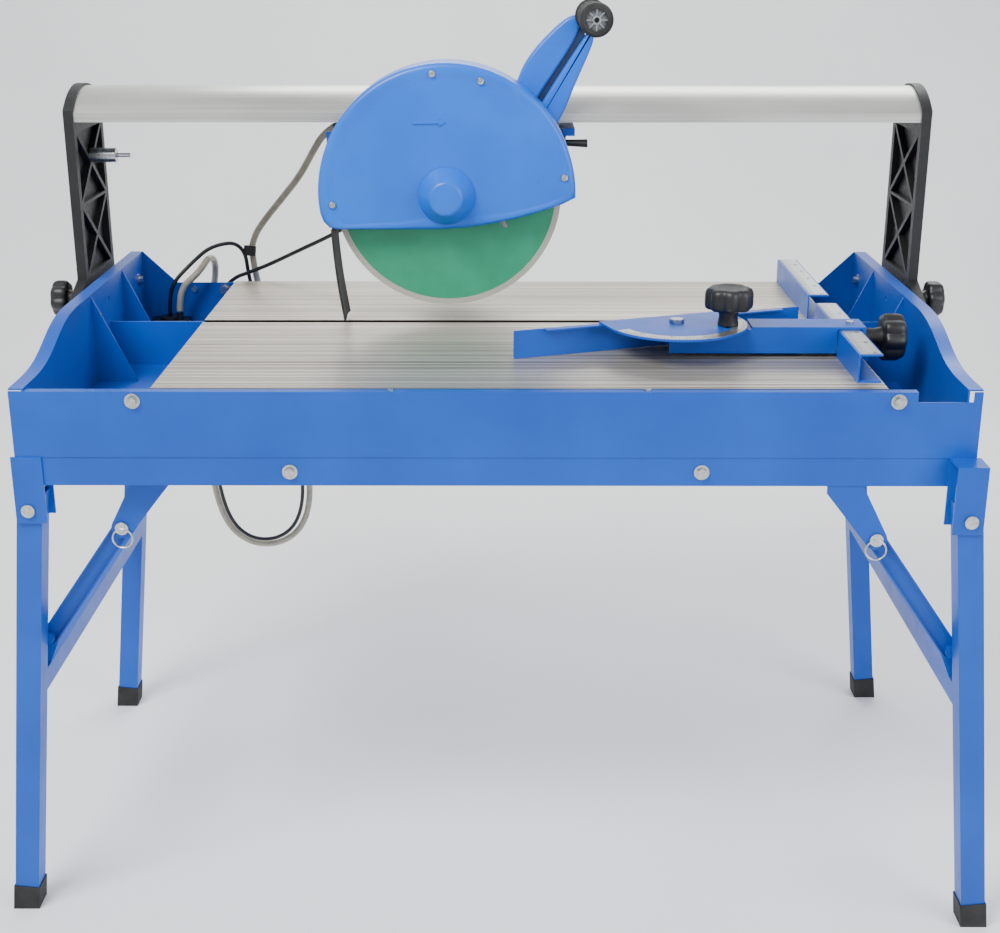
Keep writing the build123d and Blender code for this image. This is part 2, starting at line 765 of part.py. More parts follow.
with BuildPart() as motor_housing:
    rod((blade_x, plate_rear, blade_z), (0, 1, 0), motor_r, 208)
    rod((blade_x, plate_rear + 14, blade_z), (0, 1, 0), motor_r - 4, 200, Mode.SUBTRACT)
    rod((blade_x, plate_rear - 1, blade_z), (0, 1, 0), 20, 20, Mode.SUBTRACT)
keep(motor_housing, "motor_housing")

with BuildPart() as motor_end_cover:
    rod((blade_x, 300, blade_z), (0, 1, 0), motor_r, motor_rear - 300)
    rod((blade_x, 299, blade_z), (0, 1, 0), motor_r - 4, 17, Mode.SUBTRACT)
    rod((blade_x, 299, blade_z), (0, 1, 0), 20, 29, Mode.SUBTRACT)
keep(motor_end_cover, "motor_end_cover")

with BuildPart() as motor_stator:
    rod((blade_x, 130, blade_z), (0, 1, 0), motor_r - 4, 150)
    rod((blade_x, 129, blade_z), (0, 1, 0), 34, 152, Mode.SUBTRACT)
keep(motor_stator, "motor_stator")

with BuildPart() as motor_bearings:
    for start in (plate_rear, 316.0):
        rod((blade_x, start, blade_z), (0, 1, 0), 20, 12)
        rod((blade_x, start - 1, blade_z), (0, 1, 0), shaft_r + running, 14, Mode.SUBTRACT)
keep(motor_bearings, "motor_bearings")

with BuildPart() as motor_rotor:
    rod((blade_x, 31, blade_z), (0, 1, 0), shaft_r, 297)
    rod((blade_x, 132, blade_z), (0, 1, 0), 33.4, 146)
    rod((blade_x, 286, blade_z), (0, 1, 0), 44, 12)
keep(motor_rotor, "motor_rotor")

with BuildPart() as blade_core:
    rod((blade_x, blade_y - 1, blade_z), (0, 1, 0), blade_radius - 7.5, 2)
    rod((blade_x, blade_y - 2, blade_z), (0, 1, 0), shaft_r, 4, Mode.SUBTRACT)
keep(blade_core, "blade_core")

with BuildPart() as blade_rim:
    rod((blade_x, blade_y - 1.3, blade_z), (0, 1, 0), blade_radius, 2.6)
    rod((blade_x, blade_y - 2, blade_z), (0, 1, 0), blade_radius - 7.5, 4, Mode.SUBTRACT)
keep(blade_rim, "blade_rim")

with BuildPart() as arbor_flanges:
    for start in (blade_y - 7, blade_y + 1):
        rod((blade_x, start, blade_z), (0, 1, 0), 25, 6)
        rod((blade_x, start - 1, blade_z), (0, 1, 0), shaft_r, 8, Mode.SUBTRACT)
    hex_bar((blade_x, 33, blade_z), (0, 1, 0), 30, 10)
    rod((blade_x, 32, blade_z), (0, 1, 0), shaft_r, 12, Mode.SUBTRACT)
keep(arbor_flanges, "arbor_flanges")

with BuildPart() as switch_box:
    block(-14, 40, 200, 280, 842, 896)
    rod((blade_x, 190, blade_z), (0, 1, 0), motor_r, 100, Mode.SUBTRACT)
    block(5, 31, 199, 212, 855, 883, Mode.SUBTRACT)
    rod((26, 270, 869), (0, 1, 0), 9, 12, Mode.SUBTRACT)
keep(switch_box, "switch_box")

with BuildPart() as rocker_switch:
    block(6, 30, 198, 209, 856.5, 881.5)
    rod((5.5, 204, 869), (1, 0, 0), 3, 25)
keep(rocker_switch, "rocker_switch")

# Hose and cable, hand-chosen routes


def free_cord(points, radius, label):
    # Round tube along straight runs joined by the largest arcs that fit
    corners = []
    for a, b, c in zip(points, points[1:], points[2:]):
        before = Vector(b) - Vector(a)
        after = Vector(c) - Vector(b)
        turn = radians(before.get_angle(after))
        corners.append(0.45 * min(before.length, after.length) / tan(turn / 2))
    print(label, "radii", [round(r, 1) for r in corners])
    with BuildPart() as cord:
        with BuildLine() as route:
            FilletPolyline(*points, radius=corners)
        path = route.wires()[0]
        with BuildSketch(Plane(origin=path @ 0, z_dir=path % 0)):
            Circle(radius)
        sweep(path=path)
    length = path.length
    share = cord.part.volume / (3.14159265 * radius**2 * length)
    print(label, "length", round(length, 1), "volume share", round(share, 4))
    keep(cord, label)


hose_upper_route = [
    (-226, 197, 939), (-244, 204, 928), (-264, 229, 898), (-287, 262, 861),
    (-322, 298, 820), (-354, 326, 783), (-372, 340, 757), (-376, 343, 740),
]
hose_lower_route = [
    (-376.4, 344.5, 737), (-376, 354, 702), (-364, 356, 650), (-346, 358, 580),
    (-326, 360, 500), (-310, 361, 410), (-304, 362, 330), (-320, 362, 274),
    (-358, 361, 246), (-404, 361, 246), (-442, 362, 276), (-460, 362, 336),
    (-466, 361, 416), (-468, 360, 500), (-465, 358, 584), (-454, 358, 632),
    (-440, 359, 678), (-435, 356, 716), (-439, 328, 730), (-448, 302, 715),
    (-460, 295, 703), (-474, 292, 691), (-481, 292, 671), (-482, 292, 652),
]
cable_upper_route = [
    (-150, 240, 932), (-150, 244, 900), (-158, 256, 850), (-188, 280, 803),
    (-250, 302, 766), (-300, 319, 741), (-345, 332, 718), (-380, 339, 703),
    (-408, 343, 693), (-423, 345, 676),
]
cable_lower_route = [
    (-424, 345.5, 673), (-430, 347, 650), (-444, 350, 580), (-456, 351, 504),
    (-456, 352, 420), (-450, 353, 342), (-434, 353, 286), (-402, 352, 258),
    (-360, 352, 258), (-328, 353, 284), (-314, 353, 338), (-321, 352, 414),
    (-337, 351, 504), (-357, 349, 584), (-375, 348, 652), (-385, 348, 700),
    (-386, 341, 732), (-400, 336, 749), (-422, 334, 747), (-442, 330, 740),
    (-458, 321, 727), (-473, 312, 713), (-488, 304, 698), (-498, 301, 676), (-499, 301, 644),
]
free_cord(hose_upper_route, hose_r, "hose_upper")
free_cord(hose_lower_route, hose_r, "hose_lower")
free_cord(cable_upper_route, cable_r, "cable_upper")
free_cord(cable_lower_route, cable_r, "cable_lower")
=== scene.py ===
import bpy
import bmesh
from math import atan2, cos, pi, radians, sin
from mathutils import Matrix, Vector


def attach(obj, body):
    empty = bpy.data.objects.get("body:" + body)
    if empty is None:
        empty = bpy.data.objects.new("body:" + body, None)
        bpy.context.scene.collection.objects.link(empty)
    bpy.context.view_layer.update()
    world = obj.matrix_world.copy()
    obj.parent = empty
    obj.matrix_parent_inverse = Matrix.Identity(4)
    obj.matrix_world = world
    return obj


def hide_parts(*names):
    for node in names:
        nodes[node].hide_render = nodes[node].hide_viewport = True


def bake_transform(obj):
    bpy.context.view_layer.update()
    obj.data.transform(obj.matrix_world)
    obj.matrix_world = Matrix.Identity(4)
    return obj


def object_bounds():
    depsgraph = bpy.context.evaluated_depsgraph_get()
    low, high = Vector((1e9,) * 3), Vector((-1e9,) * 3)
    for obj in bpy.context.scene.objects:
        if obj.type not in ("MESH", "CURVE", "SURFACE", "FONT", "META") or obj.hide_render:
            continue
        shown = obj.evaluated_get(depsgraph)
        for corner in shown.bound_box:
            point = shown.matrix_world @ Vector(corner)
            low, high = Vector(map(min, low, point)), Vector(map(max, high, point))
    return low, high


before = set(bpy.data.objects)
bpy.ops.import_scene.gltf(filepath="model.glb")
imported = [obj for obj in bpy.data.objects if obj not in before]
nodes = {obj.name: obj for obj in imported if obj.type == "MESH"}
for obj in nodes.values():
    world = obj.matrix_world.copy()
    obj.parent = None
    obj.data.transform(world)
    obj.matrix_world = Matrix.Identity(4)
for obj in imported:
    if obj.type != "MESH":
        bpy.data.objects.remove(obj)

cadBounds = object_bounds()
mm = 0.001
print("frame loaded:", len(nodes), "nodes")


# Camera

camera = {"place": (0.012, -1.974, 1.180), "pitch": 18.9, "turn": 0.22, "lens": 55.0}


def makeCamera():
    data = bpy.data.cameras.new("camera")
    data.lens = camera["lens"]
    data.sensor_width = 36
    obj = bpy.data.objects.new("camera", data)
    obj.location = camera["place"]
    obj.rotation_euler = (radians(90 - camera["pitch"]), 0, radians(camera["turn"]))
    bpy.context.scene.collection.objects.link(obj)
    bpy.context.scene.camera = obj


makeCamera()
print("camera set")


# Small helpers


def hexColour(code):
    # sRGB hex to linear
    parts = [int(code[i:i + 2], 16) / 255 for i in (1, 3, 5)]
    linear = [c / 12.92 if c <= 0.04045 else ((c + 0.055) / 1.055) ** 2.4 for c in parts]
    return (*linear, 1.0)


def setInputs(material, node, inputs):
    # each input gets its value, or a link from a socket or from a node's first output
    for socket, value in inputs.items():
        if isinstance(value, bpy.types.Node):
            value = value.outputs[0]
        if isinstance(value, bpy.types.NodeSocket):
            material.node_tree.links.new(value, node.inputs[socket])
        else:
            node.inputs[socket].default_value = value


def addNode(material, kind, inputs=None, stops=(), **settings):
    # one shader node with its settings, its links and, on a ramp, its colour stops
    node = material.node_tree.nodes.new("ShaderNode" + kind)
    for key, value in settings.items():
        setattr(node, key, value)
    for i, (place, colour) in enumerate(stops):
        node.color_ramp.elements[i].position = place
        node.color_ramp.elements[i].color = hexColour(colour)
    setInputs(material, node, inputs or {})
    return node


def startMaterial(name, roughness, metallic=0.0, **sockets):
    material = bpy.data.materials.new(name)
    material.use_nodes = True
    shader = material.node_tree.nodes["Principled BSDF"]
    shader.inputs["Roughness"].default_value = roughness
    shader.inputs["Metallic"].default_value = metallic
    for key, value in sockets.items():
        shader.inputs[key.replace("_", " ")].default_value = value
    coords = addNode(material, "TexCoord").outputs["Object"]
    return material, shader, coords


def grain(size):
    # noise scale for grains about size millimetres across
    return 1 / (size * mm)


# Materials


def powderCoatedSteel():
    # polyester powder on sheet steel: satin, with orange peel about 2 mm across and faint dusty patches
    m, shader, coords = startMaterial("powderCoatedSteel", 0.4, Specular_IOR_Level=0.34)
    patches = addNode(m, "TexNoise", {"Vector": coords, "Scale": grain(140), "Detail": 4})
    dust = addNode(m, "TexNoise", {"Vector": coords, "Scale": grain(45), "Detail": 5})
    peel = addNode(m, "TexNoise", {"Vector": coords, "Scale": grain(2.2), "Detail": 2})
    setInputs(m, shader, {
        "Base Color": addNode(m, "ValToRGB", {"Fac": patches}, [(0.3, "#0546A4"), (0.7, "#0651B6")]),
        "Roughness": addNode(m, "MapRange", {"Value": dust, "To Min": 0.3, "To Max": 0.46}),
        "Normal": addNode(m, "Bump", {"Height": peel, "Strength": 0.14, "Distance": 0.25 * mm}),
    })
    return m


def mouldedAbs():
    # glossy injection moulded ABS: even colour, soft highlights
    m, shader, coords = startMaterial("mouldedAbs", 0.3, Specular_IOR_Level=0.4)
    patches = addNode(m, "TexNoise", {"Vector": coords, "Scale": grain(90), "Detail": 3})
    haze = addNode(m, "TexNoise", {"Vector": coords, "Scale": grain(25), "Detail": 4})
    skin = addNode(m, "TexNoise", {"Vector": coords, "Scale": grain(1.0), "Detail": 2})
    setInputs(m, shader, {
        "Base Color": addNode(m, "ValToRGB", {"Fac": patches}, [(0.3, "#0C60CE"), (0.7, "#116ADB")]),
        "Roughness": addNode(m, "MapRange", {"Value": haze, "To Min": 0.24, "To Max": 0.36}),
        "Normal": addNode(m, "Bump", {"Height": skin, "Strength": 0.08, "Distance": 0.15 * mm}),
    })
    return m


def shadedAbs():
    # the same plastic in the deep grooves, painted darker as painted shade
    m, shader, coords = startMaterial("shadedAbs", 0.5)
    patches = addNode(m, "TexNoise", {"Vector": coords, "Scale": grain(12), "Detail": 3})
    skin = addNode(m, "TexNoise", {"Vector": coords, "Scale": grain(1.0), "Detail": 2})
    setInputs(m, shader, {
        "Base Color": addNode(m, "ValToRGB", {"Fac": patches}, [(0.3, "#08213F"), (0.7, "#0B2E59")]),
        "Normal": addNode(m, "Bump", {"Height": skin, "Strength": 0.1, "Distance": 0.2 * mm}),
    })
    return m


def railExtrusion():
    # clear anodised bridge extrusion: satin, with fine die lines along the bar
    m, shader, coords = startMaterial("railExtrusion", 0.34, 0.8)
    drawn = addNode(m, "Mapping", {"Vector": coords, "Scale": (1 / 400, 1, 1)})
    wiped = addNode(m, "Mapping", {"Vector": coords, "Scale": (1 / 3, 1, 1)})
    lines = addNode(m, "TexNoise", {"Vector": drawn, "Scale": grain(1.2), "Detail": 3})
    smudges = addNode(m, "TexNoise", {"Vector": wiped, "Scale": grain(70), "Detail": 4})
    tone = addNode(m, "Mix", {0: 0.35, 2: lines, 3: smudges})
    setInputs(m, shader, {
        "Base Color": addNode(m, "ValToRGB", {"Fac": tone}, [(0.3, "#B4B3AC"), (0.7, "#DEDDD6")]),
        "Roughness": addNode(m, "MapRange", {"Value": smudges, "To Min": 0.28, "To Max": 0.45}),
        "Normal": addNode(m, "Bump", {"Height": lines, "Strength": 0.2, "Distance": 0.08 * mm}),
    })
    return m


def zincPlatedSteel():
    # bright zinc on turned steel: cool grey, slightly mottled
    m, shader, coords = startMaterial("zincPlatedSteel", 0.28, 1.0)
    mottle = addNode(m, "TexNoise", {"Vector": coords, "Scale": grain(4), "Detail": 3})
    haze = addNode(m, "TexNoise", {"Vector": coords, "Scale": grain(3), "Detail": 3})
    setInputs(m, shader, {
        "Base Color": addNode(m, "ValToRGB", {"Fac": mottle}, [(0.3, "#A9ABAD"), (0.7, "#D2D3D0")]),
        "Roughness": addNode(m, "MapRange", {"Value": haze, "To Min": 0.2, "To Max": 0.4}),
    })
    return m


def texturedCasting():
    # die cast aluminium under black texture paint: fine hammered grain that catches the light
    m, shader, coords = startMaterial("texturedCasting", 0.55)
    cells = addNode(m, "TexVoronoi", {"Vector": coords, "Scale": grain(2.4)})
    patches = addNode(m, "TexNoise", {"Vector": coords, "Scale": grain(30), "Detail": 4})
    haze = addNode(m, "TexNoise", {"Vector": coords, "Scale": grain(8), "Detail": 3})
    setInputs(m, shader, {
        "Base Color": addNode(m, "ValToRGB", {"Fac": patches}, [(0.3, "#0B0B0C"), (0.7, "#141516")]),
        "Roughness": addNode(m, "MapRange", {"Value": haze, "To Min": 0.45, "To Max": 0.68}),
        "Normal": addNode(m, "Bump", {"Height": cells, "Strength": 0.5, "Distance": 0.35 * mm}),
    })
    return m


def mouldedNylon():
    # glass filled black nylon: half matt with a dry sheen
    m, shader, coords = startMaterial("mouldedNylon", 0.42)
    patches = addNode(m, "TexNoise", {"Vector": coords, "Scale": grain(20), "Detail": 4})
    haze = addNode(m, "TexNoise", {"Vector": coords, "Scale": grain(5), "Detail": 3})
    skin = addNode(m, "TexNoise", {"Vector": coords, "Scale": grain(0.8), "Detail": 2})
    setInputs(m, shader, {
        "Base Color": addNode(m, "ValToRGB", {"Fac": patches}, [(0.3, "#0C0D0E"), (0.7, "#1A1B1D")]),
        "Roughness": addNode(m, "MapRange", {"Value": haze, "To Min": 0.34, "To Max": 0.52}),
        "Normal": addNode(m, "Bump", {"Height": skin, "Strength": 0.25, "Distance": 0.15 * mm}),
    })
    return m


def greyNylon():
    # grey hub plastic of the grip and the pump cap
    m, shader, coords = startMaterial("greyNylon", 0.45)
    patches = addNode(m, "TexNoise", {"Vector": coords, "Scale": grain(10), "Detail": 3})
    skin = addNode(m, "TexNoise", {"Vector": coords, "Scale": grain(0.8), "Detail": 2})
    setInputs(m, shader, {
        "Base Color": addNode(m, "ValToRGB", {"Fac": patches}, [(0.3, "#6C7073"), (0.7, "#8C9093")]),
        "Normal": addNode(m, "Bump", {"Height": skin, "Strength": 0.2, "Distance": 0.15 * mm}),
    })
    return m


def blackRubber():
    # moulded rubber: matt, with faint grey bloom
    m, shader, coords = startMaterial("blackRubber", 0.78)
    bloom = addNode(m, "TexNoise", {"Vector": coords, "Scale": grain(18), "Detail": 5})
    skin = addNode(m, "TexNoise", {"Vector": coords, "Scale": grain(0.9), "Detail": 3})
    setInputs(m, shader, {
        "Base Color": addNode(m, "ValToRGB", {"Fac": bloom}, [(0.3, "#121212"), (0.75, "#2B2B2A")]),
        "Normal": addNode(m, "Bump", {"Height": skin, "Strength": 0.4, "Distance": 0.2 * mm}),
    })
    return m


def softPvc():
    # soft PVC water hose: milky grey-beige, waxy
    m, shader, coords = startMaterial("softPvc", 0.32, Subsurface_Weight=0.2, Subsurface_Scale=0.003)
    milk = addNode(m, "TexNoise", {"Vector": coords, "Scale": grain(14), "Detail": 4})
    skin = addNode(m, "TexNoise", {"Vector": coords, "Scale": grain(2), "Detail": 2})
    setInputs(m, shader, {
        "Base Color": addNode(m, "ValToRGB", {"Fac": milk}, [(0.3, "#9A9482"), (0.7, "#B4AE9B")]),
        "Normal": addNode(m, "Bump", {"Height": skin, "Strength": 0.1, "Distance": 0.2 * mm}),
    })
    return m


def cableSheath():
    # black PVC cable: smooth, with a long soft highlight
    m, shader, coords = startMaterial("cableSheath", 0.36)
    patches = addNode(m, "TexNoise", {"Vector": coords, "Scale": grain(10), "Detail": 3})
    setInputs(m, shader, {
        "Base Color": addNode(m, "ValToRGB", {"Fac": patches}, [(0.3, "#0B0B0C"), (0.7, "#191A1B")]),
    })
    return m


def enamelledCore():
    # baked green enamel on the steel core: even colour, clouded gloss
    m, shader, coords = startMaterial("enamelledCore", 0.34, 0.1, Coat_Weight=0.2)
    patches = addNode(m, "TexNoise", {"Vector": coords, "Scale": grain(35), "Detail": 4})
    haze = addNode(m, "TexNoise", {"Vector": coords, "Scale": grain(9), "Detail": 4})
    setInputs(m, shader, {
        "Base Color": addNode(m, "ValToRGB", {"Fac": patches}, [(0.3, "#1B8A63"), (0.7, "#209570")]),
        "Roughness": addNode(m, "MapRange", {"Value": haze, "To Min": 0.26, "To Max": 0.44}),
    })
    return m


def sinteredRim():
    # diamond grit in sintered metal: bright, rough and sandy
    m, shader, coords = startMaterial("sinteredRim", 0.5, 0.6)
    grit = addNode(m, "TexNoise", {"Vector": coords, "Scale": grain(0.9), "Detail": 2})
    setInputs(m, shader, {
        "Base Color": addNode(m, "ValToRGB", {"Fac": grit}, [(0.35, "#9C9A90"), (0.65, "#D2CFC4")]),
        "Normal": addNode(m, "Bump", {"Height": grit, "Strength": 0.7, "Distance": 0.3 * mm}),
    })
    return m


def scalePlate():
    # satin stainless strip that carries the divisions
    m, shader, coords = startMaterial("scalePlate", 0.3, 0.9)
    brushed = addNode(m, "Mapping", {"Vector": coords, "Scale": (1, 1 / 300, 1)})
    lines = addNode(m, "TexNoise", {"Vector": brushed, "Scale": grain(0.7), "Detail": 2})
    setInputs(m, shader, {
        "Base Color": addNode(m, "ValToRGB", {"Fac": lines}, [(0.3, "#B4B6B6"), (0.7, "#D8D9D8")]),
    })
    return m


def printedInk():
    # black screen print of the divisions
    m, shader, coords = startMaterial("printedInk", 0.6)
    patches = addNode(m, "TexNoise", {"Vector": coords, "Scale": grain(3), "Detail": 2})
    setInputs(m, shader, {
        "Base Color": addNode(m, "ValToRGB", {"Fac": patches}, [(0.3, "#101010"), (0.7, "#1E1E1E")]),
    })
    return m


def tableExtrusion():
    # clear anodised planks: warm silver drawn lines along X, with painted shade darkening them down in the
    # grooves
    m, shader, coords = startMaterial("tableExtrusion", 0.38, 0.7)
    rolled = addNode(m, "Mapping", {"Vector": coords, "Scale": (1 / 500, 1, 1)})
    drawn = addNode(m, "Mapping", {"Vector": coords, "Scale": (1 / 400, 1, 1)})
    wiped = addNode(m, "Mapping", {"Vector": coords, "Scale": (1 / 3, 1, 1)})
    broad = addNode(m, "TexNoise", {"Vector": rolled, "Scale": grain(5.5), "Detail": 2})
    fine = addNode(m, "TexNoise", {"Vector": drawn, "Scale": grain(1.3), "Detail": 3})
    smudges = addNode(m, "TexNoise", {"Vector": wiped, "Scale": grain(60), "Detail": 4})
    tone = addNode(m, "Mix", {0: 0.4, 2: broad, 3: fine})
    face = addNode(m, "ValToRGB", {"Fac": tone}, [(0.36, "#8F8676"), (0.62, "#E2DCCF")])
    height = addNode(m, "SeparateXYZ", {"Vector": coords}).outputs["Z"]
    # below the plank tops the colour turns to painted shade in the grooves
    depth = addNode(m, "MapRange", {"Value": height, "From Min": 0.69425, "From Max": 0.69495})
    grooveShadeColour = hexColour("#2E2B26")
    colour = addNode(m, "Mix", {0: depth, 6: grooveShadeColour, 7: face}, data_type="RGBA").outputs[2]
    setInputs(m, shader, {
        "Base Color": colour,
        "Roughness": addNode(m, "MapRange", {"Value": smudges, "To Min": 0.3, "To Max": 0.48}),
        "Normal": addNode(m, "Bump", {"Height": tone, "Strength": 0.5, "Distance": 0.2 * mm}),
    })
    return m


blueSteel = powderCoatedSteel()
bluePlastic = mouldedAbs()
shadeGroovePlastic = shadedAbs()
tableAluminium = tableExtrusion()
railAluminium = railExtrusion()
zinc = zincPlatedSteel()
casting = texturedCasting()
nylon = mouldedNylon()
greyPlastic = greyNylon()
rubber = blackRubber()
hosePvc = softPvc()
cablePvc = cableSheath()
greenEnamel = enamelledCore()
diamondRim = sinteredRim()
stainless = scalePlate()
ink = printedInk()
print("materials made")


# Finishes of the CAD parts

finishes = {
    blueSteel: [
        "tray_pan", "left_end_wall", "right_end_wall", "end_gussets", "frame_rails", "leg_sleeves",
        "brace_brackets", "left_legs", "left_crossbar", "left_braces", "right_legs", "right_crossbar",
        "right_braces", "stop_rail", "fence_arm", "fence_protractor", "fence_bar", "carriage_plate",
        "head_plate", "tray_beams", "guard_shell", "guard_cover", "handle_arm",
    ],
    tableAluminium: ["front_planks", "rear_planks"],
    railAluminium: ["bridge_rail"],
    zinc: [
        "frame_bolts", "fence_pivot_bolt", "post_bolts", "tilt_pivots", "plunge_pin", "carriage_rollers",
        "arbor_flanges", "motor_rotor", "motor_bearings", "motor_stator", "transport_stop",
    ],
    casting: ["left_post", "right_post", "motor_housing", "motor_end_cover"],
    nylon: [
        "left_tilt_knob", "right_tilt_knob", "fence_knob", "fence_clamp_knob", "lock_lever",
        "switch_box", "rocker_switch", "drain_plug", "pump", "handle_grip",
    ],
    rubber: ["left_feet", "right_feet", "splash_flap"],
    cablePvc: ["cable_upper", "cable_lower"],
    hosePvc: ["hose_upper", "hose_lower"],
    greenEnamel: ["blade_core"],
    diamondRim: ["blade_rim"],
}


def paint(obj, material):
    if not obj.material_slots:
        obj.data.materials.append(material)
    for slot in obj.material_slots:
        slot.material = material


for material, names in finishes.items():
    for name in names:
        paint(nodes[name], material)
print("CAD parts finished")


# Making pieces


def finishPiece(name, bm, material, body, replaced=(), sharp=35):
    # turns a bmesh into a piece that rides on a body
    bmesh.ops.remove_doubles(bm, verts=bm.verts[:], dist=0.00001)
    bmesh.ops.recalc_face_normals(bm, faces=bm.faces[:])
    for face in bm.faces:
        face.smooth = True
    for edge in bm.edges:
        edge.smooth = len(edge.link_faces) == 2 and edge.calc_face_angle(pi) < radians(sharp)
    mesh = bpy.data.meshes.new(name)
    bm.to_mesh(mesh)
    bm.free()
    obj = bpy.data.objects.new(name, mesh)
    mesh.materials.append(material)
    bpy.context.scene.collection.objects.link(obj)
    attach(obj, body)
    if replaced:
        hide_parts(*replaced)
    return obj


def turnedTo(direction):
    # rotation that takes +Z to a direction
    return Vector((0, 0, 1)).rotation_difference(Vector(direction)).to_matrix().to_4x4()


def addTurned(bm, centre, direction, profile, steps=32):
    # turns a profile of (radius, height) points, in mm, about an axis
    made = [bm.verts.new((r * mm, 0, h * mm)) for r, h in profile]
    edges = [bm.edges.new(pair) for pair in zip(made, made[1:])]
    bmesh.ops.spin(
        bm, geom=made + edges, cent=(0, 0, 0), axis=(0, 0, 1), angle=2 * pi, steps=steps, use_merge=True
    )
    found = set(made)
    stack = list(made)
    while stack:
        for edge in stack.pop().link_edges:
            for vert in edge.verts:
                if vert not in found:
                    found.add(vert)
                    stack.append(vert)
    matrix = Matrix.Translation(Vector(centre) * mm) @ turnedTo(direction)
    bmesh.ops.transform(bm, matrix=matrix, verts=list(found))
    bmesh.ops.remove_doubles(bm, verts=list(found), dist=0.00002)


def addBox(bm, low, high, bevel=0.0):
    # a box between two corners in mm, with rounded edges
    low, high = Vector(low) * mm, Vector(high) * mm
    size = high - low
    matrix = Matrix.Translation((low + high) / 2) @ Matrix.Diagonal((*size, 1))
    made = bmesh.ops.create_cube(bm, size=1, matrix=matrix)["verts"]
    if bevel:
        edges = list({edge for vert in made for edge in vert.link_edges})
        bmesh.ops.bevel(
            bm, geom=edges, offset=bevel * mm, affect="EDGES", segments=2, profile=0.5, material=-1
        )


def addPlate(bm, outline, depth, bevel):
    # a closed outline in mm on the XZ plane (x, y, z), extruded along +Y, with its rim rounded
    verts = [bm.verts.new(Vector(p) * mm) for p in outline]
    face = bm.faces.new(verts)
    grown = bmesh.ops.extrude_face_region(bm, geom=[face])["geom"]
    top = [g for g in grown if isinstance(g, bmesh.types.BMVert)]
    bmesh.ops.translate(bm, verts=top, vec=(0, depth * mm, 0))
    rims = set()
    for group in (set(verts), set(top)):
        for vert in group:
            for edge in vert.link_edges:
                if edge.other_vert(vert) in group:
                    rims.add(edge)
    if bevel:
        bmesh.ops.bevel(
            bm, geom=list(rims), offset=bevel * mm, affect="EDGES", segments=1,
            profile=0.5, material=-1, clamp_overlap=True,
        )


def joinRings(bm, rings):
    # skins each ring of vertices to the next one
    for a, b in zip(rings, rings[1:]):
        for k in range(len(a)):
            n = (k + 1) % len(a)
            bm.faces.new((a[k], a[n], b[n], b[k]))


def addSmall(bm, small, place):
    # moves a small bmesh to its place and joins it to a larger one
    bmesh.ops.transform(small, matrix=place, verts=small.verts[:])
    part = bpy.data.meshes.new("part")
    small.to_mesh(part)
    small.free()
    bm.from_mesh(part)
    bpy.data.meshes.remove(part)


def tubeAlong(name, points, radius, material, ring=14):
    # a round tube that follows the middle line through a NURBS route, its ends closed
    curve = bpy.data.curves.new(name + "Route", "CURVE")
    curve.dimensions = "3D"
    spline = curve.splines.new("NURBS")
    spline.points.add(len(points) - 1)
    for point, place in zip(spline.points, points):
        point.co = (*place, 1)
    spline.order_u = 3
    spline.use_endpoint_u = True
    spline.resolution_u = 10
    route = bpy.data.objects.new(name + "Route", curve)
    line = bpy.data.meshes.new_from_object(route)
    middle = [v.co.copy() for v in line.vertices]
    bpy.data.meshes.remove(line)
    bpy.data.objects.remove(route)
    bpy.data.curves.remove(curve)
    middle = [p for i, p in enumerate(middle) if i == 0 or (p - middle[i - 1]).length > 1e-6]
    ahead = (middle[1] - middle[0]).normalized()
    side = ahead.cross(Vector((0.3, 0.2, 1))).normalized()
    bm = bmesh.new()
    uv = bm.loops.layers.uv.new("UVMap")
    rings = []
    run = 0
    for i, p in enumerate(middle):
        forward = (middle[min(i + 1, len(middle) - 1)] - middle[max(i - 1, 0)]).normalized()
        side = (side - forward * side.dot(forward)).normalized()
        up = forward.cross(side)
        run += (p - middle[max(i - 1, 0)]).length
        turn = [2 * pi * k / ring for k in range(ring)]
        rings.append((run, [bm.verts.new(p + (side * cos(a) + up * sin(a)) * radius * mm) for a in turn]))
    for (low, a), (high, b) in zip(rings, rings[1:]):
        for k in range(ring):
            n = (k + 1) % ring
            face = bm.faces.new((a[k], a[n], b[n], b[k]))
            for loop, spot in zip(face.loops, ((k, low), (k + 1, low), (k + 1, high), (k, high))):
                loop[uv].uv = (spot[0] / ring, spot[1])
    bm.faces.new(list(reversed(rings[0][1])))
    bm.faces.new(rings[-1][1])
    bmesh.ops.recalc_face_normals(bm, faces=bm.faces[:])
    for face in bm.faces:
        face.smooth = len(face.verts) == 4
    mesh = bpy.data.meshes.new(name)
    bm.to_mesh(mesh)
    bm.free()
    mesh.materials.append(material)
    obj = bpy.data.objects.new(name, mesh)
    bpy.context.scene.collection.objects.link(obj)
    return obj, run, middle
